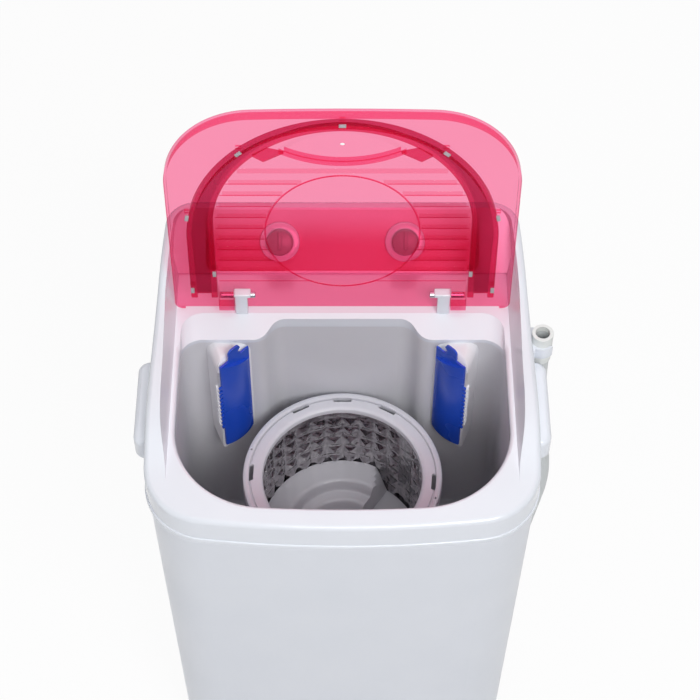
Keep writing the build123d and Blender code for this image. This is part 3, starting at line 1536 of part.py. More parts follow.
with BuildPart() as filter_housing_right:
    with BuildSketch(Plane.XY.offset(housing_bottom)) as wedge:
        with BuildLine():
            Polyline((housing_inner_x, tub_shoulder), (tip_x, tip_y), (housing_outer_x, tub_shoulder), close=True)
        make_face()
        fillet(wedge.vertices().group_by(Axis.Y)[0], 5)
    extrude(amount=housing_top - housing_bottom)
    # Arched top over the cassette
    with BuildSketch(filter_plane) as arched:
        with Locations((face_edge, housing_bottom - filter_foot)):
            Rectangle(2 * housing_width, housing_top - housing_bottom, align=(Align.MAX, Align.MIN))
        fillet(arched.vertices().group_by(Axis.X)[-1].sort_by(Axis.Y)[-1], housing_round)
    extrude(amount=2 * housing_width, both=True, mode=Mode.INTERSECT)
    # Shallow seat for the cassette
    with BuildSketch(filter_plane):
        with Locations((0, filter_height / 2)):
            Rectangle(filter_width - 10, filter_height - 20)
    extrude(amount=-8, mode=Mode.SUBTRACT)
    # Slits in the outer flank
    with BuildSketch(Plane.YZ.offset(tip_x + 2)):
        with Locations((tub_shoulder - 11, filter_top - 60)):
            with GridLocations(0, 7, 1, 9):
                Rectangle(9, 3)
    extrude(amount=20, mode=Mode.SUBTRACT)
filter_housing_right.part.label = "filter_housing_right"
export_step(filter_housing_right.part, "parts/filter_housing_right.step")

with BuildPart() as filter_housing_left:
    mirror(filter_housing_right.part, about=Plane.YZ)
filter_housing_left.part.label = "filter_housing_left"
export_step(filter_housing_left.part, "parts/filter_housing_left.step")

filter_edge = 2.0
filter_head = 17.0
tab_width = 15.0
tab_rise = 15.0

with BuildPart() as lint_filter_right:
    # Bulging face, with a set-back head that carries the notched tab
    with BuildSketch(Plane(origin=filter_plane.origin, x_dir=filter_plane.x_dir, z_dir=(0, 0, 1))):
        with BuildLine():
            Polyline(
                (-filter_width / 2, -seat_gap - filter_edge),
                (-filter_width / 2, -seat_gap),
                (filter_width / 2, -seat_gap),
                (filter_width / 2, -seat_gap - filter_edge),
            )
            ThreePointArc(
                (filter_width / 2, -seat_gap - filter_edge),
                (0, -seat_gap - filter_thick),
                (-filter_width / 2, -seat_gap - filter_edge),
            )
        make_face()
    extrude(amount=filter_height)
    with BuildSketch(filter_plane.offset(seat_gap + filter_edge)):
        with BuildLine():
            Polyline(
                (-filter_width / 2, filter_height - filter_head),
                (filter_width / 2, filter_height),
                (-filter_width / 2, filter_height),
                close=True,
            )
        make_face()
    extrude(amount=filter_thick, mode=Mode.SUBTRACT)
    with BuildSketch(filter_plane.offset(seat_gap)) as tab:
        with Locations((0, filter_height - 5)):
            Rectangle(tab_width, tab_rise + 5, align=(Align.CENTER, Align.MIN))
        fillet(tab.vertices().group_by(Axis.Y)[-1], 5)
        with Locations((-tab_width / 2, filter_height + 6)):
            Rectangle(5, 5, rotation=45, mode=Mode.SUBTRACT)
    extrude(amount=filter_edge)
    # Comb of teeth along the outer edge
    with BuildSketch(filter_plane.offset(seat_gap)):
        with Locations((filter_width / 2 - 1, filter_height * 0.5)):
            with GridLocations(0, 6.7, 1, 11):
                Rectangle(4, 3, align=(Align.MIN, Align.CENTER))
    extrude(amount=filter_edge)
lint_filter_right.part.label = "lint_filter_right"
export_step(lint_filter_right.part, "parts/lint_filter_right.step")

with BuildPart() as lint_filter_left:
    mirror(lint_filter_right.part, about=Plane.YZ)
lint_filter_left.part.label = "lint_filter_left"
export_step(lint_filter_left.part, "parts/lint_filter_left.step")

lid_tilt = degrees(asin((hinge_rise + lid_rim - 0.5) / lid_reach))
print("lid swing", 90 + lid_lean + lid_tilt)
print("filter hinge", filter_plane.origin, "console face", console_face.origin, console_face.z_dir)
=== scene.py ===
import bpy
from math import atan2, cos, degrees, hypot, pi, radians, sin
from mathutils import Matrix, Vector


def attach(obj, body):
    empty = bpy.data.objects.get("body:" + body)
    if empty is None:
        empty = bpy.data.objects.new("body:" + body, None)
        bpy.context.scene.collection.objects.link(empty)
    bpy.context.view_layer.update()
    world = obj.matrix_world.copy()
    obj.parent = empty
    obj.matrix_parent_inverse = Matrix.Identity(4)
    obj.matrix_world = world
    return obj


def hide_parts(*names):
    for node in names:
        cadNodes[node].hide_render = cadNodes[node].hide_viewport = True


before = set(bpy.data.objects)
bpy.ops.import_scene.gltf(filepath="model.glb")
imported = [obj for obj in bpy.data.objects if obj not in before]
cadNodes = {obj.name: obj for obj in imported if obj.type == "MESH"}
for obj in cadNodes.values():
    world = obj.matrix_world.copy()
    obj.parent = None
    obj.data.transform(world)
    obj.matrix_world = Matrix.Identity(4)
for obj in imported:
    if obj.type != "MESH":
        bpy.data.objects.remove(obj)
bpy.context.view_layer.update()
print("stage: frame loaded,", len(cadNodes), "nodes")

mergeWithin = 0.00002  # points nearer than this become one
touch = 0.0001  # how near a point counts as lying on a line or level
mixA, mixB, mixOut = 6, 7, 2  # the colour sockets of a Mix node


# small tools shared by the pieces

def hexColour(text):
    channels = [int(text[i:i + 2], 16) / 255 for i in (0, 2, 4)]
    linear = [c / 12.92 if c <= 0.04045 else ((c + 0.055) / 1.055) ** 2.4 for c in channels]
    return (*linear, 1)


def addNode(tree, kind, settings=None, links=None):
    node = tree.nodes.new(kind)
    for name, value in (settings or {}).items():
        if isinstance(name, str) and hasattr(node, name):
            setattr(node, name, value)
        else:
            node.inputs[name].default_value = value
    for name, socket in (links or {}).items():
        tree.links.new(socket, node.inputs[name])
    return node


def clearSelection():
    if bpy.context.object and bpy.context.object.mode != "OBJECT":
        bpy.ops.object.mode_set(mode="OBJECT")
    bpy.ops.object.select_all(action="DESELECT")


def makeActive(piece):
    clearSelection()
    piece.select_set(True)
    bpy.context.view_layer.objects.active = piece


def settle(piece):
    makeActive(piece)
    bpy.ops.object.transform_apply(location=True, rotation=True, scale=True)


# selects by place or normal and stays in edit mode
def pick(piece, kind, test):
    bpy.ops.object.mode_set(mode="EDIT")
    bpy.ops.mesh.select_mode(type=kind)
    bpy.ops.mesh.select_all(action="DESELECT")
    bpy.ops.object.mode_set(mode="OBJECT")
    mesh = piece.data
    if kind == "FACE":
        for face in mesh.polygons:
            face.select = test(face)
    elif kind == "EDGE":
        for edge in mesh.edges:
            a, b = (mesh.vertices[i].co for i in edge.vertices)
            edge.select = test(a, b)
    else:
        for vertex in mesh.vertices:
            vertex.select = test(vertex.co)
    bpy.ops.object.mode_set(mode="EDIT")


def applyModifier(piece, kind, **settings):
    makeActive(piece)
    modifier = piece.modifiers.new(kind.lower(), kind)
    for name, value in settings.items():
        setattr(modifier, name, value)
    bpy.ops.object.modifier_apply(modifier=modifier.name)


def smooth(piece, angle):
    makeActive(piece)
    bpy.ops.object.shade_smooth_by_angle(angle=radians(angle))


def finishMesh(piece):
    makeActive(piece)
    bpy.ops.object.mode_set(mode="EDIT")
    bpy.ops.mesh.select_all(action="SELECT")
    bpy.ops.mesh.remove_doubles(threshold=mergeWithin)
    bpy.ops.mesh.normals_make_consistent(inside=False)
    bpy.ops.object.mode_set(mode="OBJECT")


def joinPieces(pieces, name):
    makeActive(pieces[0])
    for piece in pieces:
        piece.select_set(True)
    bpy.ops.object.join()
    joined = bpy.context.object
    joined.name = name
    return joined


# a closed outline of (radius, height) points, spun round an upright axis
def turnPiece(name, outline, axisY, steps):
    clearSelection()
    bpy.ops.mesh.primitive_circle_add(vertices=len(outline), radius=1, fill_type="NOTHING")
    piece = bpy.context.object
    piece.name = name
    for vertex, (radius, height) in zip(piece.data.vertices, outline):
        vertex.co = (radius, axisY, height)
    bpy.ops.object.mode_set(mode="EDIT")
    bpy.ops.mesh.select_all(action="SELECT")
    bpy.ops.mesh.spin(steps=steps, angle=2 * pi, center=(0, axisY, 0), axis=(0, 0, 1))
    bpy.ops.object.mode_set(mode="OBJECT")
    finishMesh(piece)
    return piece


# a box with rounded edges, centred on its place
def roundedBox(name, size, centre, bevel, segments=3):
    clearSelection()
    bpy.ops.mesh.primitive_cube_add(size=1, location=centre)
    piece = bpy.context.object
    piece.name = name
    bpy.ops.transform.resize(value=size)
    settle(piece)
    bpy.ops.object.mode_set(mode="EDIT")
    bpy.ops.mesh.select_all(action="SELECT")
    bpy.ops.mesh.bevel(offset=bevel, segments=segments, affect="EDGES")
    bpy.ops.object.mode_set(mode="OBJECT")
    return piece


def cutWith(piece, cutter):
    applyModifier(piece, "BOOLEAN", operation="DIFFERENCE", solver="EXACT", object=cutter)
    bpy.data.objects.remove(cutter, do_unlink=True)


def placePiece(piece, matrix):
    piece.data.transform(matrix)
    piece.data.update()


def dress(piece, material):
    piece.data.materials.clear()
    piece.data.materials.append(material)


# materials, each named for what the real surface is, save the console sheet, which carries painted shade; sizes in mm
# become scales per metre

def newMaterial(name):
    material = bpy.data.materials.new(name)
    material.use_nodes = True
    material.node_tree.nodes.clear()
    return material, material.node_tree


# moulded plastic: a smooth skin with a faint orange-peel swell and slightly uneven gloss
def mouldedPlastic(name, colour, shade, roughness, cloudMm=90, swellMm=4.0, depthMm=0.02, coat=0.0):
    material, tree = newMaterial(name)
    place = addNode(tree, "ShaderNodeTexCoord").outputs["Object"]
    cloud = addNode(tree, "ShaderNodeTexNoise", {"Scale": 1000 / cloudMm, "Detail": 3.0}, {"Vector": place})
    tint = addNode(tree, "ShaderNodeMix",
                   {"data_type": "RGBA", mixA: hexColour(colour), mixB: hexColour(shade)},
                   {"Factor": cloud.outputs["Fac"]})
    gloss = addNode(tree, "ShaderNodeMapRange", {"To Min": roughness * 0.8, "To Max": roughness * 1.25},
                    {"Value": cloud.outputs["Fac"]})
    swell = addNode(tree, "ShaderNodeTexNoise", {"Scale": 1000 / swellMm, "Detail": 2.0}, {"Vector": place})
    bump = addNode(tree, "ShaderNodeBump", {"Strength": 0.25, "Distance": depthMm / 1000},
                   {"Height": swell.outputs["Fac"]})
    shader = addNode(tree, "ShaderNodeBsdfPrincipled",
                     {"IOR": 1.5, "Coat Weight": coat, "Coat Roughness": 0.08},
                     {"Base Color": tint.outputs[mixOut], "Roughness": gloss.outputs["Result"],
                      "Normal": bump.outputs["Normal"]})
    addNode(tree, "ShaderNodeOutputMaterial", links={"Surface": shader.outputs["BSDF"]})
    return material


# clear dyed plastic: tints what is behind it once at each skin, with a mirror-like gloss that grows at the edges
def clearPlastic(name, film, body, haze, roughness, cloudMm=60, swellMm=25, depthMm=0.04):
    material, tree = newMaterial(name)
    place = addNode(tree, "ShaderNodeTexCoord").outputs["Object"]
    swell = addNode(tree, "ShaderNodeTexNoise", {"Scale": 1000 / swellMm, "Detail": 2.0}, {"Vector": place})
    bump = addNode(tree, "ShaderNodeBump", {"Strength": 0.2, "Distance": depthMm / 1000},
                   {"Height": swell.outputs["Fac"]})
    cloud = addNode(tree, "ShaderNodeTexNoise", {"Scale": 1000 / cloudMm, "Detail": 2.0}, {"Vector": place})
    milk = addNode(tree, "ShaderNodeMapRange", {"To Min": haze * 0.8, "To Max": haze * 1.2},
                   {"Value": cloud.outputs["Fac"]})
    facing = addNode(tree, "ShaderNodeLayerWeight", {"Blend": 0.5})
    grazing = addNode(tree, "ShaderNodeMath", {"operation": "POWER", 1: 5.0}, {0: facing.outputs["Facing"]})
    share = addNode(tree, "ShaderNodeMath", {"operation": "ADD", "use_clamp": True},
                    {0: milk.outputs["Result"], 1: grazing.outputs["Value"]})
    see = addNode(tree, "ShaderNodeBsdfTransparent", {"Color": hexColour(film)})
    skin = addNode(tree, "ShaderNodeBsdfPrincipled",
                   {"Base Color": hexColour(body), "Roughness": roughness, "IOR": 1.49},
                   {"Normal": bump.outputs["Normal"]})
    mix = addNode(tree, "ShaderNodeMixShader",
                  links={"Fac": share.outputs["Value"], 1: see.outputs["BSDF"], 2: skin.outputs["BSDF"]})
    addNode(tree, "ShaderNodeOutputMaterial", links={"Surface": mix.outputs["Shader"]})
    return material


# metal sheet or bar: streaks along one direction and slow waves of the sheet break up its mirror
def workedMetal(name, colour, dark, roughness, streakMm, stretch, streakDepthMm=0.03, waveMm=12.0,
                waveDepthMm=0.02):
    material, tree = newMaterial(name)
    place = addNode(tree, "ShaderNodeTexCoord").outputs["Object"]
    turn = addNode(tree, "ShaderNodeMapping", {"Scale": stretch}, {"Vector": place})
    streak = addNode(tree, "ShaderNodeTexNoise", {"Scale": 1000 / streakMm, "Detail": 3.0},
                     {"Vector": turn.outputs["Vector"]})
    tint = addNode(tree, "ShaderNodeMix",
                   {"data_type": "RGBA", mixA: hexColour(dark), mixB: hexColour(colour)},
                   {"Factor": streak.outputs["Fac"]})
    gloss = addNode(tree, "ShaderNodeMapRange", {"To Min": roughness * 0.7, "To Max": roughness * 1.3},
                    {"Value": streak.outputs["Fac"]})
    wave = addNode(tree, "ShaderNodeTexNoise", {"Scale": 1000 / waveMm, "Detail": 1.0}, {"Vector": place})
    sheet = addNode(tree, "ShaderNodeBump", {"Strength": 1.0, "Distance": waveDepthMm / 1000},
                    {"Height": wave.outputs["Fac"]})
    bump = addNode(tree, "ShaderNodeBump", {"Strength": 0.15, "Distance": streakDepthMm / 1000},
                   {"Height": streak.outputs["Fac"], "Normal": sheet.outputs["Normal"]})
    shader = addNode(tree, "ShaderNodeBsdfPrincipled", {"Metallic": 1.0},
                     {"Base Color": tint.outputs[mixOut], "Roughness": gloss.outputs["Result"],
                      "Normal": bump.outputs["Normal"]})
    addNode(tree, "ShaderNodeOutputMaterial", links={"Surface": shader.outputs["BSDF"]})
    return material


# a sheet of painted shade: pale at its upper edge, where light falls on it from above, fading to rose lower down,
# painted for the pink shade that the clear lid casts, under a smooth gloss
def paintedShadeFilm(name, pale, deep, litAt, shadedAt, swellMm=6, depthMm=0.02):
    material, tree = newMaterial(name)
    place = addNode(tree, "ShaderNodeTexCoord").outputs["Object"]
    apart = addNode(tree, "ShaderNodeSeparateXYZ", links={"Vector": place})
    # painted shade: the colour turns from pale to rose down the face, as the lid's pink shadow deepens
    lidShade = addNode(tree, "ShaderNodeMapRange",
                   {"interpolation_type": "SMOOTHSTEP", "From Min": litAt, "From Max": shadedAt},
                   {"Value": apart.outputs["Z"]})
    tint = addNode(tree, "ShaderNodeMix",
                   {"data_type": "RGBA", mixA: hexColour(pale), mixB: hexColour(deep)},
                   {"Factor": lidShade.outputs["Result"]})
    swell = addNode(tree, "ShaderNodeTexNoise", {"Scale": 1000 / swellMm, "Detail": 2.0}, {"Vector": place})
    bump = addNode(tree, "ShaderNodeBump", {"Strength": 0.2, "Distance": depthMm / 1000},
                   {"Height": swell.outputs["Fac"]})
    shader = addNode(tree, "ShaderNodeBsdfPrincipled", {"IOR": 1.5, "Roughness": 0.25},
                     {"Base Color": tint.outputs[mixOut], "Normal": bump.outputs["Normal"]})
    addNode(tree, "ShaderNodeOutputMaterial", links={"Surface": shader.outputs["BSDF"]})
    return material


frameWhite = mouldedPlastic("gloss white moulded ABS", "EBEEF5", "E4E8F0", 0.2, coat=0.15)
cabinetWhite = mouldedPlastic("white moulded ABS cabinet", "E6E9F0", "DEE2EA", 0.3)
tubWhite = mouldedPlastic("white moulded polypropylene", "DCDCE0", "D3D3D9", 0.33)
# painted light: the seats' white is set brighter than the tub's same white plastic to stand in for the light that
# falls on them
litSeatWhite = mouldedPlastic("white moulded polypropylene filter seat", "F0F0F3", "E8E8EC", 0.3)
basketWhite = mouldedPlastic("white moulded polypropylene basket", "D6D6DC", "CBCBD2", 0.3)
floorWhite = mouldedPlastic("white moulded polypropylene basket floor", "CECED4", "C4C4CB", 0.24)
filterBlue = mouldedPlastic("blue moulded polypropylene", "2659D6", "1C48BC", 0.26)
greyPlastic = mouldedPlastic("grey moulded polypropylene", "6E7075", "626469", 0.45)
knobGrey = mouldedPlastic("warm grey moulded ABS", "A9A0A4", "9C9398", 0.35)
hoseMilk = mouldedPlastic("milky extruded PVC", "D2D6D6", "C8CCCD", 0.35)
cuffWhite = mouldedPlastic("soft white moulded PVC", "ECEEEC", "E3E6E4", 0.4)
blackRubber = mouldedPlastic("black moulded rubber", "1B1B1D", "242427", 0.7, swellMm=1.5, depthMm=0.05)
blackEnamel = mouldedPlastic("black baked enamel", "16171A", "1E2024", 0.35)
lidPink = clearPlastic("clear pink moulded polystyrene", "FFC8DC", "EE2A5A", 0.06, 0.06)
archPink = clearPlastic("clear deep pink moulded polystyrene", "F7ACC5", "D42458", 0.08, 0.08)
archDark = clearPlastic("clear crimson moulded polystyrene", "E299B3", "A8264A", 0.12, 0.1)
ribPink = clearPlastic("clear pink moulded polystyrene rib", "FFEFF3", "F0305F", 0.02, 0.06)
# painted light: the console face's pale top is lit from above, its rose lower part is the lid's pink shade
consoleShadeSheet = paintedShadeFilm("painted pink lid shade on the console face", "E0CFD8", "CE5A80", litAt=0.567, shadedAt=0.54)
clipGrey = mouldedPlastic("pale grey moulded nylon", "B9B5B9", "A8A3A8", 0.4)
drumSteel = workedMetal("pressed stainless steel", "D8D4D6", "747074", 0.13, 3.0, (1, 1, 0.25),
                        waveMm=9.0, waveDepthMm=2.4)
zincSteel = workedMetal("zinc plated steel", "B8BBC0", "94979C", 0.35, 2.0, (1, 1, 1))
groundSteel = workedMetal("ground steel bar", "C4C5C8", "A2A4A8", 0.25, 1.0, (1, 1, 0.1))
castAlloy = workedMetal("die cast alloy", "B0B2B5", "8F9194", 0.45, 1.5, (1, 1, 1))
bronze = workedMetal("sintered bronze", "B08A55", "86663A", 0.4, 0.8, (1, 1, 1))
print("stage: materials")

nodeFinishes = [
    (frameWhite, ["top_frame", "console_back", "handle_right", "handle_left", "hinge_post_right",
                  "hinge_post_left", "timer_knob", "selector_knob", "hose_clip"]),
    (cabinetWhite, ["cabinet"]),
    (tubWhite, ["wash_tub", "filter_housing_right", "filter_housing_left", "drain_grille"]),
    (basketWhite, ["basket_ring", "basket_base", "pulsator"]),
    (lidPink, ["lid_cover"]),
    (archDark, ["lid_arch"]),
    (filterBlue, ["lint_filter_right", "lint_filter_left"]),
    (drumSteel, ["basket_drum"]),
    (hoseMilk, ["drain_hose"]),
    (cuffWhite, ["hose_cuff"]),
    (greyPlastic, ["base_plate", "drain_pipe", "drain_elbow", "timer_body", "selector_body", "loom_clips"]),
    (zincSteel, ["base_screws", "tub_screws", "console_screws", "pulsator_screw", "housing_bolts",
                 "motor_bolts", "pulley_nut", "motor_bracket", "hose_clamp", "capacitor_strap"]),
    (groundSteel, ["drive_shaft", "motor_shaft", "hinge_pins"]),
    (bronze, ["shaft_bushes"]),
    (castAlloy, ["bearing_housing", "drive_pulley", "motor_pulley", "capacitor"]),
    (blackEnamel, ["motor_housing"]),
    (blackRubber, ["feet", "shaft_seal", "motor_mounts", "drive_belt", "cord_gland", "wiring_loom"]),
]
dressed = []
for material, names in nodeFinishes:
    for name in names:
        dress(cadNodes[name], material)
        dressed.append(name)
print("stage: CAD nodes dressed, left over:", [name for name in cadNodes if name not in dressed])


# spin basket drum: one row of pressed pyramids above another, each with rounded ridges and a small hole
drum = {"radius": 0.086, "wall": 0.0008, "low": 0.238, "high": 0.394, "axisY": -0.0385,
        "columns": 32, "rows": 9, "rim": 0.0012, "press": 0.003, "hole": 0.001, "tipShare": 0.75,
        "round": 0.0011, "roundFrom": 14, "seam": 40}


def makeDrum():
    clearSelection()
    middle = (drum["low"] + drum["high"]) / 2
    tall = drum["high"] - drum["low"]
    bpy.ops.mesh.primitive_cylinder_add(vertices=drum["columns"], radius=drum["radius"], depth=tall,
                                        end_fill_type="NOTHING", location=(0, drum["axisY"], middle))
    shell = bpy.context.object
    shell.name = "drumShell"
    settle(shell)
    pick(shell, "EDGE", lambda a, b: abs(a.z - b.z) > tall / 2)
    bpy.ops.mesh.subdivide(number_cuts=drum["rows"] - 1)
    bpy.ops.object.mode_set(mode="OBJECT")
    rowTall = tall / drum["rows"]

    # the column at the welded seam and the first and last rows stay plain
    def dimpled(face):
        turn = degrees(atan2(face.center.y - drum["axisY"], face.center.x))
        atSeam = abs((turn - drum["seam"] + 180) % 360 - 180) < 180 / drum["columns"]
        return not atSeam and drum["low"] + rowTall < face.center.z < drum["high"] - rowTall

    pick(shell, "FACE", dimpled)
    bpy.ops.mesh.inset(thickness=drum["rim"], use_individual=True)
    bpy.ops.mesh.poke(offset=-drum["press"])
    bpy.ops.object.mode_set(mode="OBJECT")
    tip = drum["radius"] - drum["press"] * drum["tipShare"]
    pick(shell, "VERT", lambda point: hypot(point.x, point.y - drum["axisY"]) < tip)
    bpy.ops.mesh.bevel(offset=drum["hole"], affect="VERTICES", segments=1)
    bpy.ops.mesh.delete(type="ONLY_FACE")
    bpy.ops.object.mode_set(mode="OBJECT")
    applyModifier(shell, "BEVEL", width=drum["round"], segments=3, limit_method="ANGLE",
                  angle_limit=radians(drum["roundFrom"]))
    applyModifier(shell, "SOLIDIFY", thickness=drum["wall"], offset=1)
    smooth(shell, 40)
    dress(shell, drumSteel)
    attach(shell, "basket")
    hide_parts("basket_drum")


makeDrum()
print("stage: drum")


# basket ring: a flat inner band with slots, a groove line and an outer bead, as (radius, height) from the inner lip
ring = {"top": 0.4, "axisY": -0.0385, "steps": 128,
        "profile": ((0.0805, 0.3922), (0.0805, 0.3952), (0.0813, 0.397), (0.083, 0.3982), (0.0855, 0.3986),
                    (0.0931, 0.3986), (0.0934, 0.3966), (0.0945, 0.3966), (0.0948, 0.3988), (0.0955, 0.3997),
                    (0.0967, 0.4), (0.0988, 0.4), (0.1004, 0.3994), (0.101, 0.3978), (0.101, 0.386),
                    (0.0985, 0.386), (0.0985, 0.394), (0.0857, 0.394), (0.0857, 0.3922)),
        "slots": (-5, 60, 90, 118, 178, 240, 270, 300), "slotAt": 0.0925, "slotSize": (0.0044, 0.019, 0.02),
        "slotRound": 0.0012, "dots": (162, 343), "dotAt": 0.0975, "dotRadius": 0.0012, "dotTall": 0.008}


def makeRing():
    rim = turnPiece("ringRim", ring["profile"], ring["axisY"], ring["steps"])
    cutters = []

    def setRound(cutter, turn, out):
        middle = Matrix.Translation((0, ring["axisY"], ring["top"]))
        placePiece(cutter, middle @ Matrix.Rotation(radians(turn), 4, "Z") @ Matrix.Translation((out, 0, 0)))
        cutters.append(cutter)

    for turn in ring["slots"]:
        setRound(roundedBox("slotCutter", ring["slotSize"], (0, 0, 0), ring["slotRound"]), turn, ring["slotAt"])
    for turn in ring["dots"]:
        clearSelection()
        bpy.ops.mesh.primitive_cylinder_add(vertices=16, radius=ring["dotRadius"], depth=ring["dotTall"])
        setRound(bpy.context.object, turn, ring["dotAt"])
    cutWith(rim, joinPieces(cutters, "slotCutters"))
    smooth(rim, 30)
    dress(rim, basketWhite)
    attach(rim, "basket")
    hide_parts("basket_ring")


makeRing()
print("stage: ring")


# basket floor: two swirled lobes that fall in steps to the middle, angles in degrees and steps as shares of the radius
floorDish = {"radius": 0.0824, "axisY": -0.0385, "low": 0.238, "level": 0.26, "rise": 0.036, "wall": 0.002,
             "rings": 40, "turns": 144, "lobeStart": 56, "swirl": 30, "lobeUp": (-2, 10), "lobeDown": (111, 151),
             "steps": ((0.23, 0.31, 0.4), (0.42, 0.51, 0.3), (0.64, 0.73, 0.3)),
             "hub": 0.006, "hubEnd": (0.12, 0.17)}


def smoothStep(low, high, value):
    t = min(max((value - low) / (high - low), 0), 1)
    return t * t * (3 - 2 * t)


def dishHeight(radius, turn):
    share = radius / floorDish["radius"]
    along = (turn - floorDish["lobeStart"]) % 180 + floorDish["swirl"] * (1 - share)
    ridge = smoothStep(*floorDish["lobeUp"], along) * (1 - smoothStep(*floorDish["lobeDown"], along))
    steps = sum(part * smoothStep(low, high, share) for low, high, part in floorDish["steps"])
    hub = floorDish["hub"] * (1 - smoothStep(*floorDish["hubEnd"], share))
    return floorDish["level"] + hub + floorDish["rise"] * ridge * steps


def makeFloor():
    clearSelection()
    bpy.ops.mesh.primitive_circle_add(vertices=floorDish["turns"], radius=floorDish["radius"],
                                      fill_type="NOTHING", location=(0, floorDish["axisY"], floorDish["low"]))
    dish = bpy.context.object
    dish.name = "basketFloor"
    settle(dish)
    bpy.ops.object.mode_set(mode="EDIT")
    bpy.ops.mesh.select_all(action="SELECT")
    wallTall = floorDish["level"] - floorDish["low"]
    bpy.ops.mesh.extrude_region_move(TRANSFORM_OT_translate={"value": (0, 0, wallTall)})
    centre = (0, floorDish["axisY"], floorDish["level"])
    left = floorDish["radius"]
    step = floorDish["radius"] / (floorDish["rings"] + 1)
    for _ in range(floorDish["rings"]):
        bpy.ops.mesh.extrude_region_move()
        size = (left - step) / left
        bpy.ops.transform.resize(value=(size, size, 1), center_override=centre)
        left -= step
    bpy.ops.mesh.edge_face_add()
    bpy.ops.object.mode_set(mode="OBJECT")
    for vertex in dish.data.vertices:
        if vertex.co.z > floorDish["low"] + touch:
            x, y = vertex.co.x, vertex.co.y - floorDish["axisY"]
            vertex.co.z = dishHeight(hypot(x, y), degrees(atan2(y, x)))
    applyModifier(dish, "SOLIDIFY", thickness=floorDish["wall"], offset=-1)
    finishMesh(dish)
    smooth(dish, 40)
    dress(dish, floorWhite)
    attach(dish, "basket")
    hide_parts("basket_base")


makeFloor()
print("stage: basket floor")


# the open lid's own axes at its hinge: y up the lid, which leans back, and z through it to the back
lidLean = radians(5)
lidPlane = Matrix(((-1, 0, 0, 0), (0, sin(lidLean), cos(lidLean), 0.078),
                   (0, cos(lidLean), -sin(lidLean), 0.545), (0, 0, 0, 1)))

# lid arch: a dark channel between two paler ribs, with small clip heads along them, each (x, y, turn)
arch = {"foot": -0.0025, "outerHalf": 0.149, "outerCentre": 0.0775, "outerRise": 0.147, "innerHalf": 0.123,
        "innerCentre": 0.095, "innerRise": 0.121, "rib": 0.0062, "edge": 0.0005, "back": 0.0063,
        "floor": 0.0045, "front": -0.0014, "steps": 150, "legShare": 0.16, "darkRows": (5, 11),
        "clips": ((0, 0.22275, 0), (0.0954, 0.1888, 40), (-0.0954, 0.1888, -40), (0.14725, 0.107, 80),
                  (-0.14725, 0.107, -80), (0.12475, 0.031, 90), (-0.12475, 0.031, 90), (0.14725, 0.008, 90),
                  (-0.14725, 0.008, 90)),
        "clip": (0.0068, 0.0036, 0.0016), "clipOut": 0.0003, "clipEdge": 0.0005,
        "plug": (0.00555, 0.00355, 0.0024), "plugAt": 0.00775, "plugEdge": 0.0001}


# a point on one side of the arch: up a straight leg, over the top and down the other leg
def archLine(share, half, centre, rise):
    leg = arch["legShare"]
    if share < leg:
        return Vector((half, arch["foot"] + (centre - arch["foot"]) * share / leg))
    if share > 1 - leg:
        return Vector((-half, arch["foot"] + (centre - arch["foot"]) * (1 - share) / leg))
    turn = pi * (share - leg) / (1 - 2 * leg)
    return Vector((half * cos(turn), centre + rise * sin(turn)))


def makeArch():
    rib, edge, back, floorAt, front = (arch[name] for name in ("rib", "edge", "back", "floor", "front"))
    hair = -0.00001  # just under nought, so that it counts from the inner side
    # across the band: distance in from the outer side (positive) or from the inner side (negative), and depth
    section = [(0, back), (0, front + edge), (edge, front), (rib - edge, front), (rib, front + edge),
               (rib, floorAt), (-rib, floorAt), (-rib, front + edge), (-rib + edge, front), (-edge, front),
               (hair, front + edge), (hair, back), (0, back)]
    rows = len(section) - 1
    clearSelection()
    bpy.ops.mesh.primitive_grid_add(x_subdivisions=arch["steps"], y_subdivisions=rows, size=2)
    band = bpy.context.object
    band.name = "archBand"
    dark = [int((face.center.y + 1) / 2 * rows) in arch["darkRows"] for face in band.data.polygons]
    for vertex in band.data.vertices:
        share = (vertex.co.x + 1) / 2
        across, depth = section[round((vertex.co.y + 1) / 2 * rows)]
        outer = archLine(share, arch["outerHalf"], arch["outerCentre"], arch["outerRise"])
        inner = archLine(share, arch["innerHalf"], arch["innerCentre"], arch["innerRise"])
        inward = (inner - outer).normalized()
        spot = outer + inward * across if across >= 0 else inner + inward * across
        vertex.co = (spot.x, spot.y, depth)
    dress(band, archPink)
    band.data.materials.append(archDark)
    for face, isDark in zip(band.data.polygons, dark):
        face.material_index = 1 if isDark else 0
    finishMesh(band)
    pick(band, "VERT", lambda point: point.y < arch["foot"] + touch)
    bpy.ops.mesh.edge_face_add()
    bpy.ops.object.mode_set(mode="OBJECT")
    smooth(band, 30)
    placePiece(band, lidPlane)
    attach(band, "lid")
    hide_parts("lid_arch")
    heads = []
    for x, y, turn in arch["clips"]:
        head = roundedBox("clipHead", arch["clip"], (0, 0, 0), arch["clipEdge"], 2)
        spot = Matrix.Translation((x, y, front - arch["clipOut"]))
        placePiece(head, spot @ Matrix.Rotation(radians(-turn), 4, "Z"))
        dress(head, clipGrey)
        # a clear plug fills the lid's slot behind the clip
        plug = roundedBox("clipPlug", arch["plug"], (x, y, arch["plugAt"]), arch["plugEdge"], 1)
        dress(plug, lidPink)
        heads += [head, plug]
    clips = joinPieces(heads, "archClips")
    smooth(clips, 30)
    placePiece(clips, lidPlane)
    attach(clips, "lid")
    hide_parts("lid_arch")


makeArch()
print("stage: lid arch")


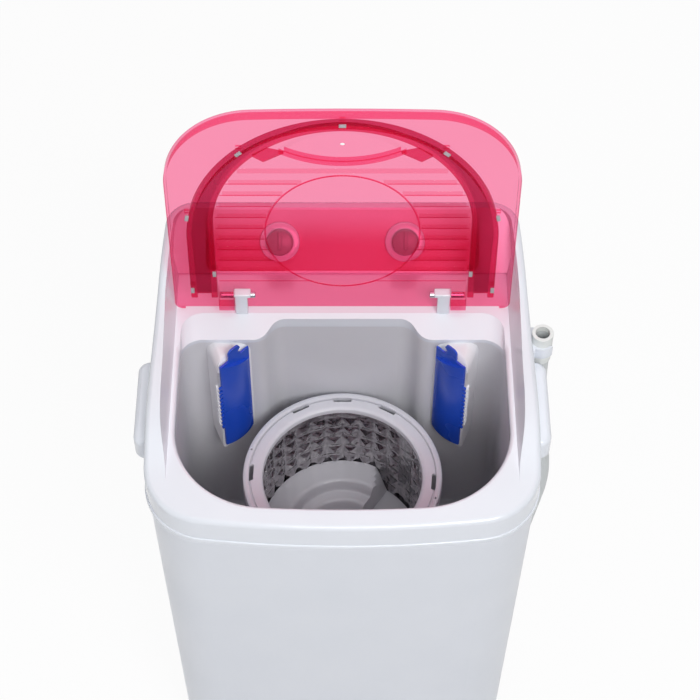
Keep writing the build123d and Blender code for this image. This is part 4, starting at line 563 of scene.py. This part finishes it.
# broad ribs moulded across the lid on either side of its embossed circle, and a web at each end of the grip
lidRibs = {"pitch": 0.0145, "count": 10, "rowMiddle": 0.0965, "wide": 0.0062, "thick": 0.0006, "edge": 0.0003,
           "half": 0.119, "centre": 0.095, "rise": 0.117, "level": 0.0049,
           "circle": 0.0757, "circleMiddle": 0.082, "circleSteps": 128, "lineIn": 0.0017, "line": 0.0008,
           "lineSide": 0.0004, "lineTop": 0.0008,
           "fin": ((0.0829, 0.1817), (0.0698, 0.1901), (0.0537, 0.1858), (0.0729, 0.175)),
           "finBack": 0.0062, "finThick": 0.004, "finEdge": 0.0004}


# a crimson web between the end of the grip and the arch
def makeFin(side):
    clearSelection()
    bpy.ops.mesh.primitive_circle_add(vertices=len(lidRibs["fin"]), radius=1, fill_type="NGON")
    fin = bpy.context.object
    fin.name = "lidFin"
    for vertex, (x, y) in zip(fin.data.vertices, lidRibs["fin"]):
        vertex.co = (side * x, y, lidRibs["finBack"])
    bpy.ops.object.mode_set(mode="EDIT")
    bpy.ops.mesh.select_all(action="SELECT")
    bpy.ops.mesh.extrude_region_move(TRANSFORM_OT_translate={"value": (0, 0, -lidRibs["finThick"])})
    bpy.ops.mesh.select_all(action="SELECT")
    bpy.ops.mesh.bevel(offset=lidRibs["finEdge"], segments=2, affect="EDGES")
    bpy.ops.object.mode_set(mode="OBJECT")
    finishMesh(fin)
    dress(fin, archPink)
    return fin


def makeRibs():
    level = lidRibs["level"]
    bars = []
    for row in range(lidRibs["count"]):
        high = lidRibs["rowMiddle"] + (row - (lidRibs["count"] - 1) / 2) * lidRibs["pitch"]
        reach = lidRibs["half"]
        if high > lidRibs["centre"]:
            reach *= (1 - ((high - lidRibs["centre"]) / lidRibs["rise"]) ** 2) ** 0.5
        off = abs(high - lidRibs["circleMiddle"])
        start = (lidRibs["circle"] ** 2 - off ** 2) ** 0.5 if off < lidRibs["circle"] else 0
        size = (reach - start, lidRibs["wide"], lidRibs["thick"])
        for side in (1, -1):
            bar = roundedBox("lidRib", size, (side * (reach + start) / 2, high, level), lidRibs["edge"], 1)
            dress(bar, ribPink)
            bars.append(bar)
    middle, line = lidRibs["circle"] - lidRibs["lineIn"], lidRibs["line"]
    sideAt, topAt = level - lidRibs["lineSide"], level - lidRibs["lineTop"]
    outline = [(middle - line, level), (middle - line, sideAt), (middle - line / 2, topAt),
               (middle + line / 2, topAt), (middle + line, sideAt), (middle + line, level)]
    circle = turnPiece("lidCircle", outline, lidRibs["circleMiddle"], lidRibs["circleSteps"])
    dress(circle, lidPink)
    ribs = joinPieces(bars + [circle] + [makeFin(side) for side in (1, -1)], "lidRibs")
    smooth(ribs, 30)
    placePiece(ribs, lidPlane)
    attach(ribs, "lid")


makeRibs()
print("stage: lid ribs")


# hinge posts: a square leg under a flat head that reaches towards the middle
post = {"x": 0.1, "y": 0.078, "legY": 0.07725, "foot": 0.52, "top": 0.5495, "leg": (0.0124, 0.0085),
        "legEdge": 0.001, "head": (0.0165, 0.0098, 0.0042), "headIn": 0.0012, "headEdge": 0.0012}


def makePost(side, node):
    headAt = post["top"] - post["head"][2] / 2
    tall = headAt - post["foot"]
    legSpot = (side * post["x"], post["legY"], post["foot"] + tall / 2)
    leg = roundedBox("postLeg", (*post["leg"], tall), legSpot, post["legEdge"])
    headSpot = (side * (post["x"] - post["headIn"]), post["y"], headAt)
    head = roundedBox("postHead", post["head"], headSpot, post["headEdge"])
    stand = joinPieces([leg, head], "hingePost" + node)
    smooth(stand, 40)
    dress(stand, frameWhite)
    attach(stand, "machine")
    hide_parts("hinge_post_" + node)


makePost(1, "right")
makePost(-1, "left")
print("stage: hinge posts")


# filter seats: a rounded white shoulder on each back corner of the tub, with pale ridges beside the filter's comb
seat = {"inner": 0.092, "tip": (0.1235, 0.0185), "outer": 0.136, "wall": 0.05, "low": 0.361, "high": 0.5047,
        "round": 0.013, "edge": 0.005, "ridges": 10, "ridgePitch": 0.0067, "ridgeMiddle": 0.4355,
        "ridge": (0.0075, 0.0026, 0.0026), "ridgeAt": (0.1254, 0.0214), "ridgeTurn": 68, "ridgeEdge": 0.0006}


def makeSeat(side, node):
    clearSelection()
    bpy.ops.mesh.primitive_cylinder_add(vertices=3, radius=1, depth=1, end_fill_type="NGON")
    shoulder = bpy.context.object
    shoulder.name = "filterSeat" + node
    corners = [(seat["inner"], seat["wall"]), seat["tip"], (seat["outer"], seat["wall"])]
    for number, vertex in enumerate(shoulder.data.vertices):
        x, y = corners[number // 2]
        vertex.co = (x, y, seat["high"] if vertex.co.z > 0 else seat["low"])
    finishMesh(shoulder)

    def frontTop(a, b):
        return min(a.z, b.z) > seat["high"] - touch and min(a.y, b.y) < seat["wall"] - touch

    # the two front edges of the top come first, so that their rounding doesn't meet the tip's
    pick(shoulder, "EDGE", frontTop)
    bpy.ops.mesh.bevel(offset=seat["round"], segments=8, affect="EDGES", clamp_overlap=True)
    bpy.ops.object.mode_set(mode="OBJECT")
    tip = Vector(seat["tip"])
    pick(shoulder, "EDGE", lambda a, b: (a.xy - tip).length < touch and (b.xy - tip).length < touch)
    bpy.ops.mesh.bevel(offset=seat["edge"], segments=6, affect="EDGES", clamp_overlap=True)
    bpy.ops.object.mode_set(mode="OBJECT")
    parts = [shoulder]
    for row in range(seat["ridges"]):
        up = seat["ridgeMiddle"] + (row - (seat["ridges"] - 1) / 2) * seat["ridgePitch"]
        ridge = roundedBox("seatRidge", seat["ridge"], (0, 0, 0), seat["ridgeEdge"], 2)
        spot = Matrix.Translation((*seat["ridgeAt"], up))
        placePiece(ridge, spot @ Matrix.Rotation(radians(seat["ridgeTurn"]), 4, "Z"))
        parts.append(ridge)
    whole = joinPieces(parts, "filterSeat" + node)
    placePiece(whole, Matrix.Diagonal((side, 1, 1, 1)))
    finishMesh(whole)
    smooth(whole, 40)
    # the seat's brighter white is painted light
    dress(whole, litSeatWhite)
    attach(whole, "machine")
    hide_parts("filter_housing_" + node)


makeSeat(1, "right")
makeSeat(-1, "left")
print("stage: filter seats")


# the sloped console face's own axes between the knobs: y up the slope and z out of it
consoleFace = Matrix(((1, 0, 0, 0), (0, 0.714669, -0.699463, 0.14706),
                      (0, 0.699463, 0.714669, 0.54408), (0, 0, 0, 1)))

# a thin sheet on the sloped face behind the knobs, there only to carry the lid's painted pink shade
film = {"half": 0.138, "low": -0.0295, "high": 0.0322, "corner": 0.008, "thick": 0.0004, "lift": 0.0002}


def makeShadeSheet():
    tall = film["high"] - film["low"]
    clearSelection()
    bpy.ops.mesh.primitive_plane_add(size=1)
    sheet = bpy.context.object
    sheet.name = "consoleShadeSheet"
    bpy.ops.transform.resize(value=(2 * film["half"], tall, 1))
    settle(sheet)
    bpy.ops.object.mode_set(mode="EDIT")
    bpy.ops.mesh.select_all(action="SELECT")
    bpy.ops.mesh.bevel(offset=film["corner"], segments=6, affect="VERTICES")
    bpy.ops.object.mode_set(mode="OBJECT")
    applyModifier(sheet, "SOLIDIFY", thickness=film["thick"], offset=0)
    smooth(sheet, 30)
    # the sheet's colour is painted pink shade from the lid, not a print
    dress(sheet, consoleShadeSheet)
    middle = (film["high"] + film["low"]) / 2
    placePiece(sheet, consoleFace @ Matrix.Translation((0, middle, film["lift"])))
    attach(sheet, "machine")


makeShadeSheet()
print("stage: console film")


# knobs: a pale skirt under a grey cap with a pointer ridge, as (radius, height) from the middle of the underside
knob = {"x": 0.063, "top": 0.017, "steps": 72,
        "profile": ((0, 0.001), (0.0192, 0.001), (0.02, 0.0018), (0.02, 0.0044), (0.0194, 0.0054), (0.018, 0.006),
                    (0.0147, 0.0062), (0.0137, 0.007), (0.0131, 0.0154), (0.0125, 0.0165), (0.0115, 0.017),
                    (0, 0.017)),
        "paleFrom": 0.014, "paleBelow": 0.006, "ridge": (0.0034, 0.019, 0.004), "ridgeUp": 0.002,
        "ridgeEdge": 0.0008}


def makeKnob(side, node, body):
    turned = turnPiece("knobTurned", knob["profile"], 0, knob["steps"])
    pale = [hypot(face.center.x, face.center.y) > knob["paleFrom"] or face.center.z < knob["paleBelow"]
            for face in turned.data.polygons]
    dress(turned, knobGrey)
    turned.data.materials.append(frameWhite)
    for face, isPale in zip(turned.data.polygons, pale):
        face.material_index = 1 if isPale else 0
    ridge = roundedBox("knobRidge", knob["ridge"], (0, knob["ridgeUp"], knob["top"]), knob["ridgeEdge"], 2)
    dress(ridge, knobGrey)
    dial = joinPieces([turned, ridge], body + "Dial")
    smooth(dial, 30)
    placePiece(dial, consoleFace @ Matrix.Translation((side * knob["x"], 0, 0)))
    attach(dial, body)
    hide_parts(node)


makeKnob(1, "timer_knob", "timer")
makeKnob(-1, "selector_knob", "selector")
print("stage: knobs")


# studio: white floor and world, and soft lamps as (name, place, size, watts)
studio = {"floorSize": 30, "floorColour": "EDEDEE", "floorGlow": 0.94, "skyColour": "FCFDFF", "skyLight": 0.15,
          "aim": (0, 0, 0.45),
          "lamps": (("topSoftbox", (0, -0.2, 2.6), 1.6, 7.8),
                    ("keySoftbox", (0.3, -1.9, 2.5), 1.2, 26),
                    ("keySide", (0.9, -1.7, 2.5), 0.9, 24),
                    ("backSoftbox", (0, 1.2, 2.2), 1.4, 9),
                    ("leftSoftbox", (-2.2, -1.2, 0.9), 1.4, 8.8),
                    ("backFill", (0.6, 2.4, 1.0), 1.4, 6))}


# rays that see the backdrop itself: straight from the camera, off a gloss or through a clear piece
def backdropRays(tree):
    path = addNode(tree, "ShaderNodeLightPath")
    seen = addNode(tree, "ShaderNodeMath", {"operation": "MAXIMUM"},
                   {0: path.outputs["Is Camera Ray"], 1: path.outputs["Is Glossy Ray"]})
    clear = addNode(tree, "ShaderNodeMath", {"operation": "MAXIMUM"},
                    {0: seen.outputs["Value"], 1: path.outputs["Is Transmission Ray"]})
    return clear.outputs["Value"]


def makeGround():
    clearSelection()
    bpy.ops.mesh.primitive_plane_add(size=studio["floorSize"], location=(0, 0, 0))
    ground = bpy.context.object
    ground.name = "studioFloor"
    material, tree = newMaterial("pale studio floor")
    share = addNode(tree, "ShaderNodeMapRange", {"To Min": 0.0, "To Max": studio["floorGlow"]},
                    {"Value": backdropRays(tree)})
    matte = addNode(tree, "ShaderNodeBsdfDiffuse", {"Color": hexColour(studio["floorColour"])})
    glow = addNode(tree, "ShaderNodeEmission", {"Color": hexColour("FFFFFF"), "Strength": 1.0})
    mix = addNode(tree, "ShaderNodeMixShader",
                  links={"Fac": share.outputs["Result"], 1: matte.outputs["BSDF"], 2: glow.outputs["Emission"]})
    addNode(tree, "ShaderNodeOutputMaterial", links={"Surface": mix.outputs["Shader"]})
    dress(ground, material)


def makeLight():
    world = bpy.context.scene.world or bpy.data.worlds.new("studio")
    bpy.context.scene.world = world
    world.use_nodes = True
    tree = world.node_tree
    tree.nodes.clear()
    lit = addNode(tree, "ShaderNodeMapRange", {"To Min": studio["skyLight"], "To Max": 1.0},
                  {"Value": backdropRays(tree)})
    sky = addNode(tree, "ShaderNodeBackground", {"Color": hexColour(studio["skyColour"])},
                  {"Strength": lit.outputs["Result"]})
    addNode(tree, "ShaderNodeOutputWorld", links={"Surface": sky.outputs["Background"]})
    for name, spot, size, power in studio["lamps"]:
        clearSelection()
        bpy.ops.object.light_add(type="AREA", location=spot)
        lamp = bpy.context.object
        lamp.name = name
        lamp.data.size = size
        lamp.data.energy = power
        aim = Vector(studio["aim"]) - Vector(spot)
        lamp.rotation_euler = aim.to_track_quat("-Z", "Y").to_euler()


# camera: solved from the photo's own edges, lengths in pixels of the photo
photoCamera = {"spot": (0, -1.0836, 2.0177), "pitch": 53.4, "focalPx": 1900, "framePx": 700, "centrePx": 342.5,
               "sensorMm": 36}


def makeCamera():
    clearSelection()
    lookDown = radians(90 - photoCamera["pitch"])
    bpy.ops.object.camera_add(location=photoCamera["spot"], rotation=(lookDown, 0, 0))
    camera = bpy.context.object
    camera.name = "photoCamera"
    framePx = photoCamera["framePx"]
    camera.data.sensor_width = photoCamera["sensorMm"]
    camera.data.lens = photoCamera["sensorMm"] * photoCamera["focalPx"] / framePx
    camera.data.shift_x = (framePx / 2 - photoCamera["centrePx"]) / framePx
    camera.data.dof.use_dof = False
    bpy.context.scene.camera = camera


makeGround()
makeLight()
makeCamera()
bpy.context.scene.view_settings.view_transform = "Standard"
print("stage: floor, light and camera")

clearSelection()
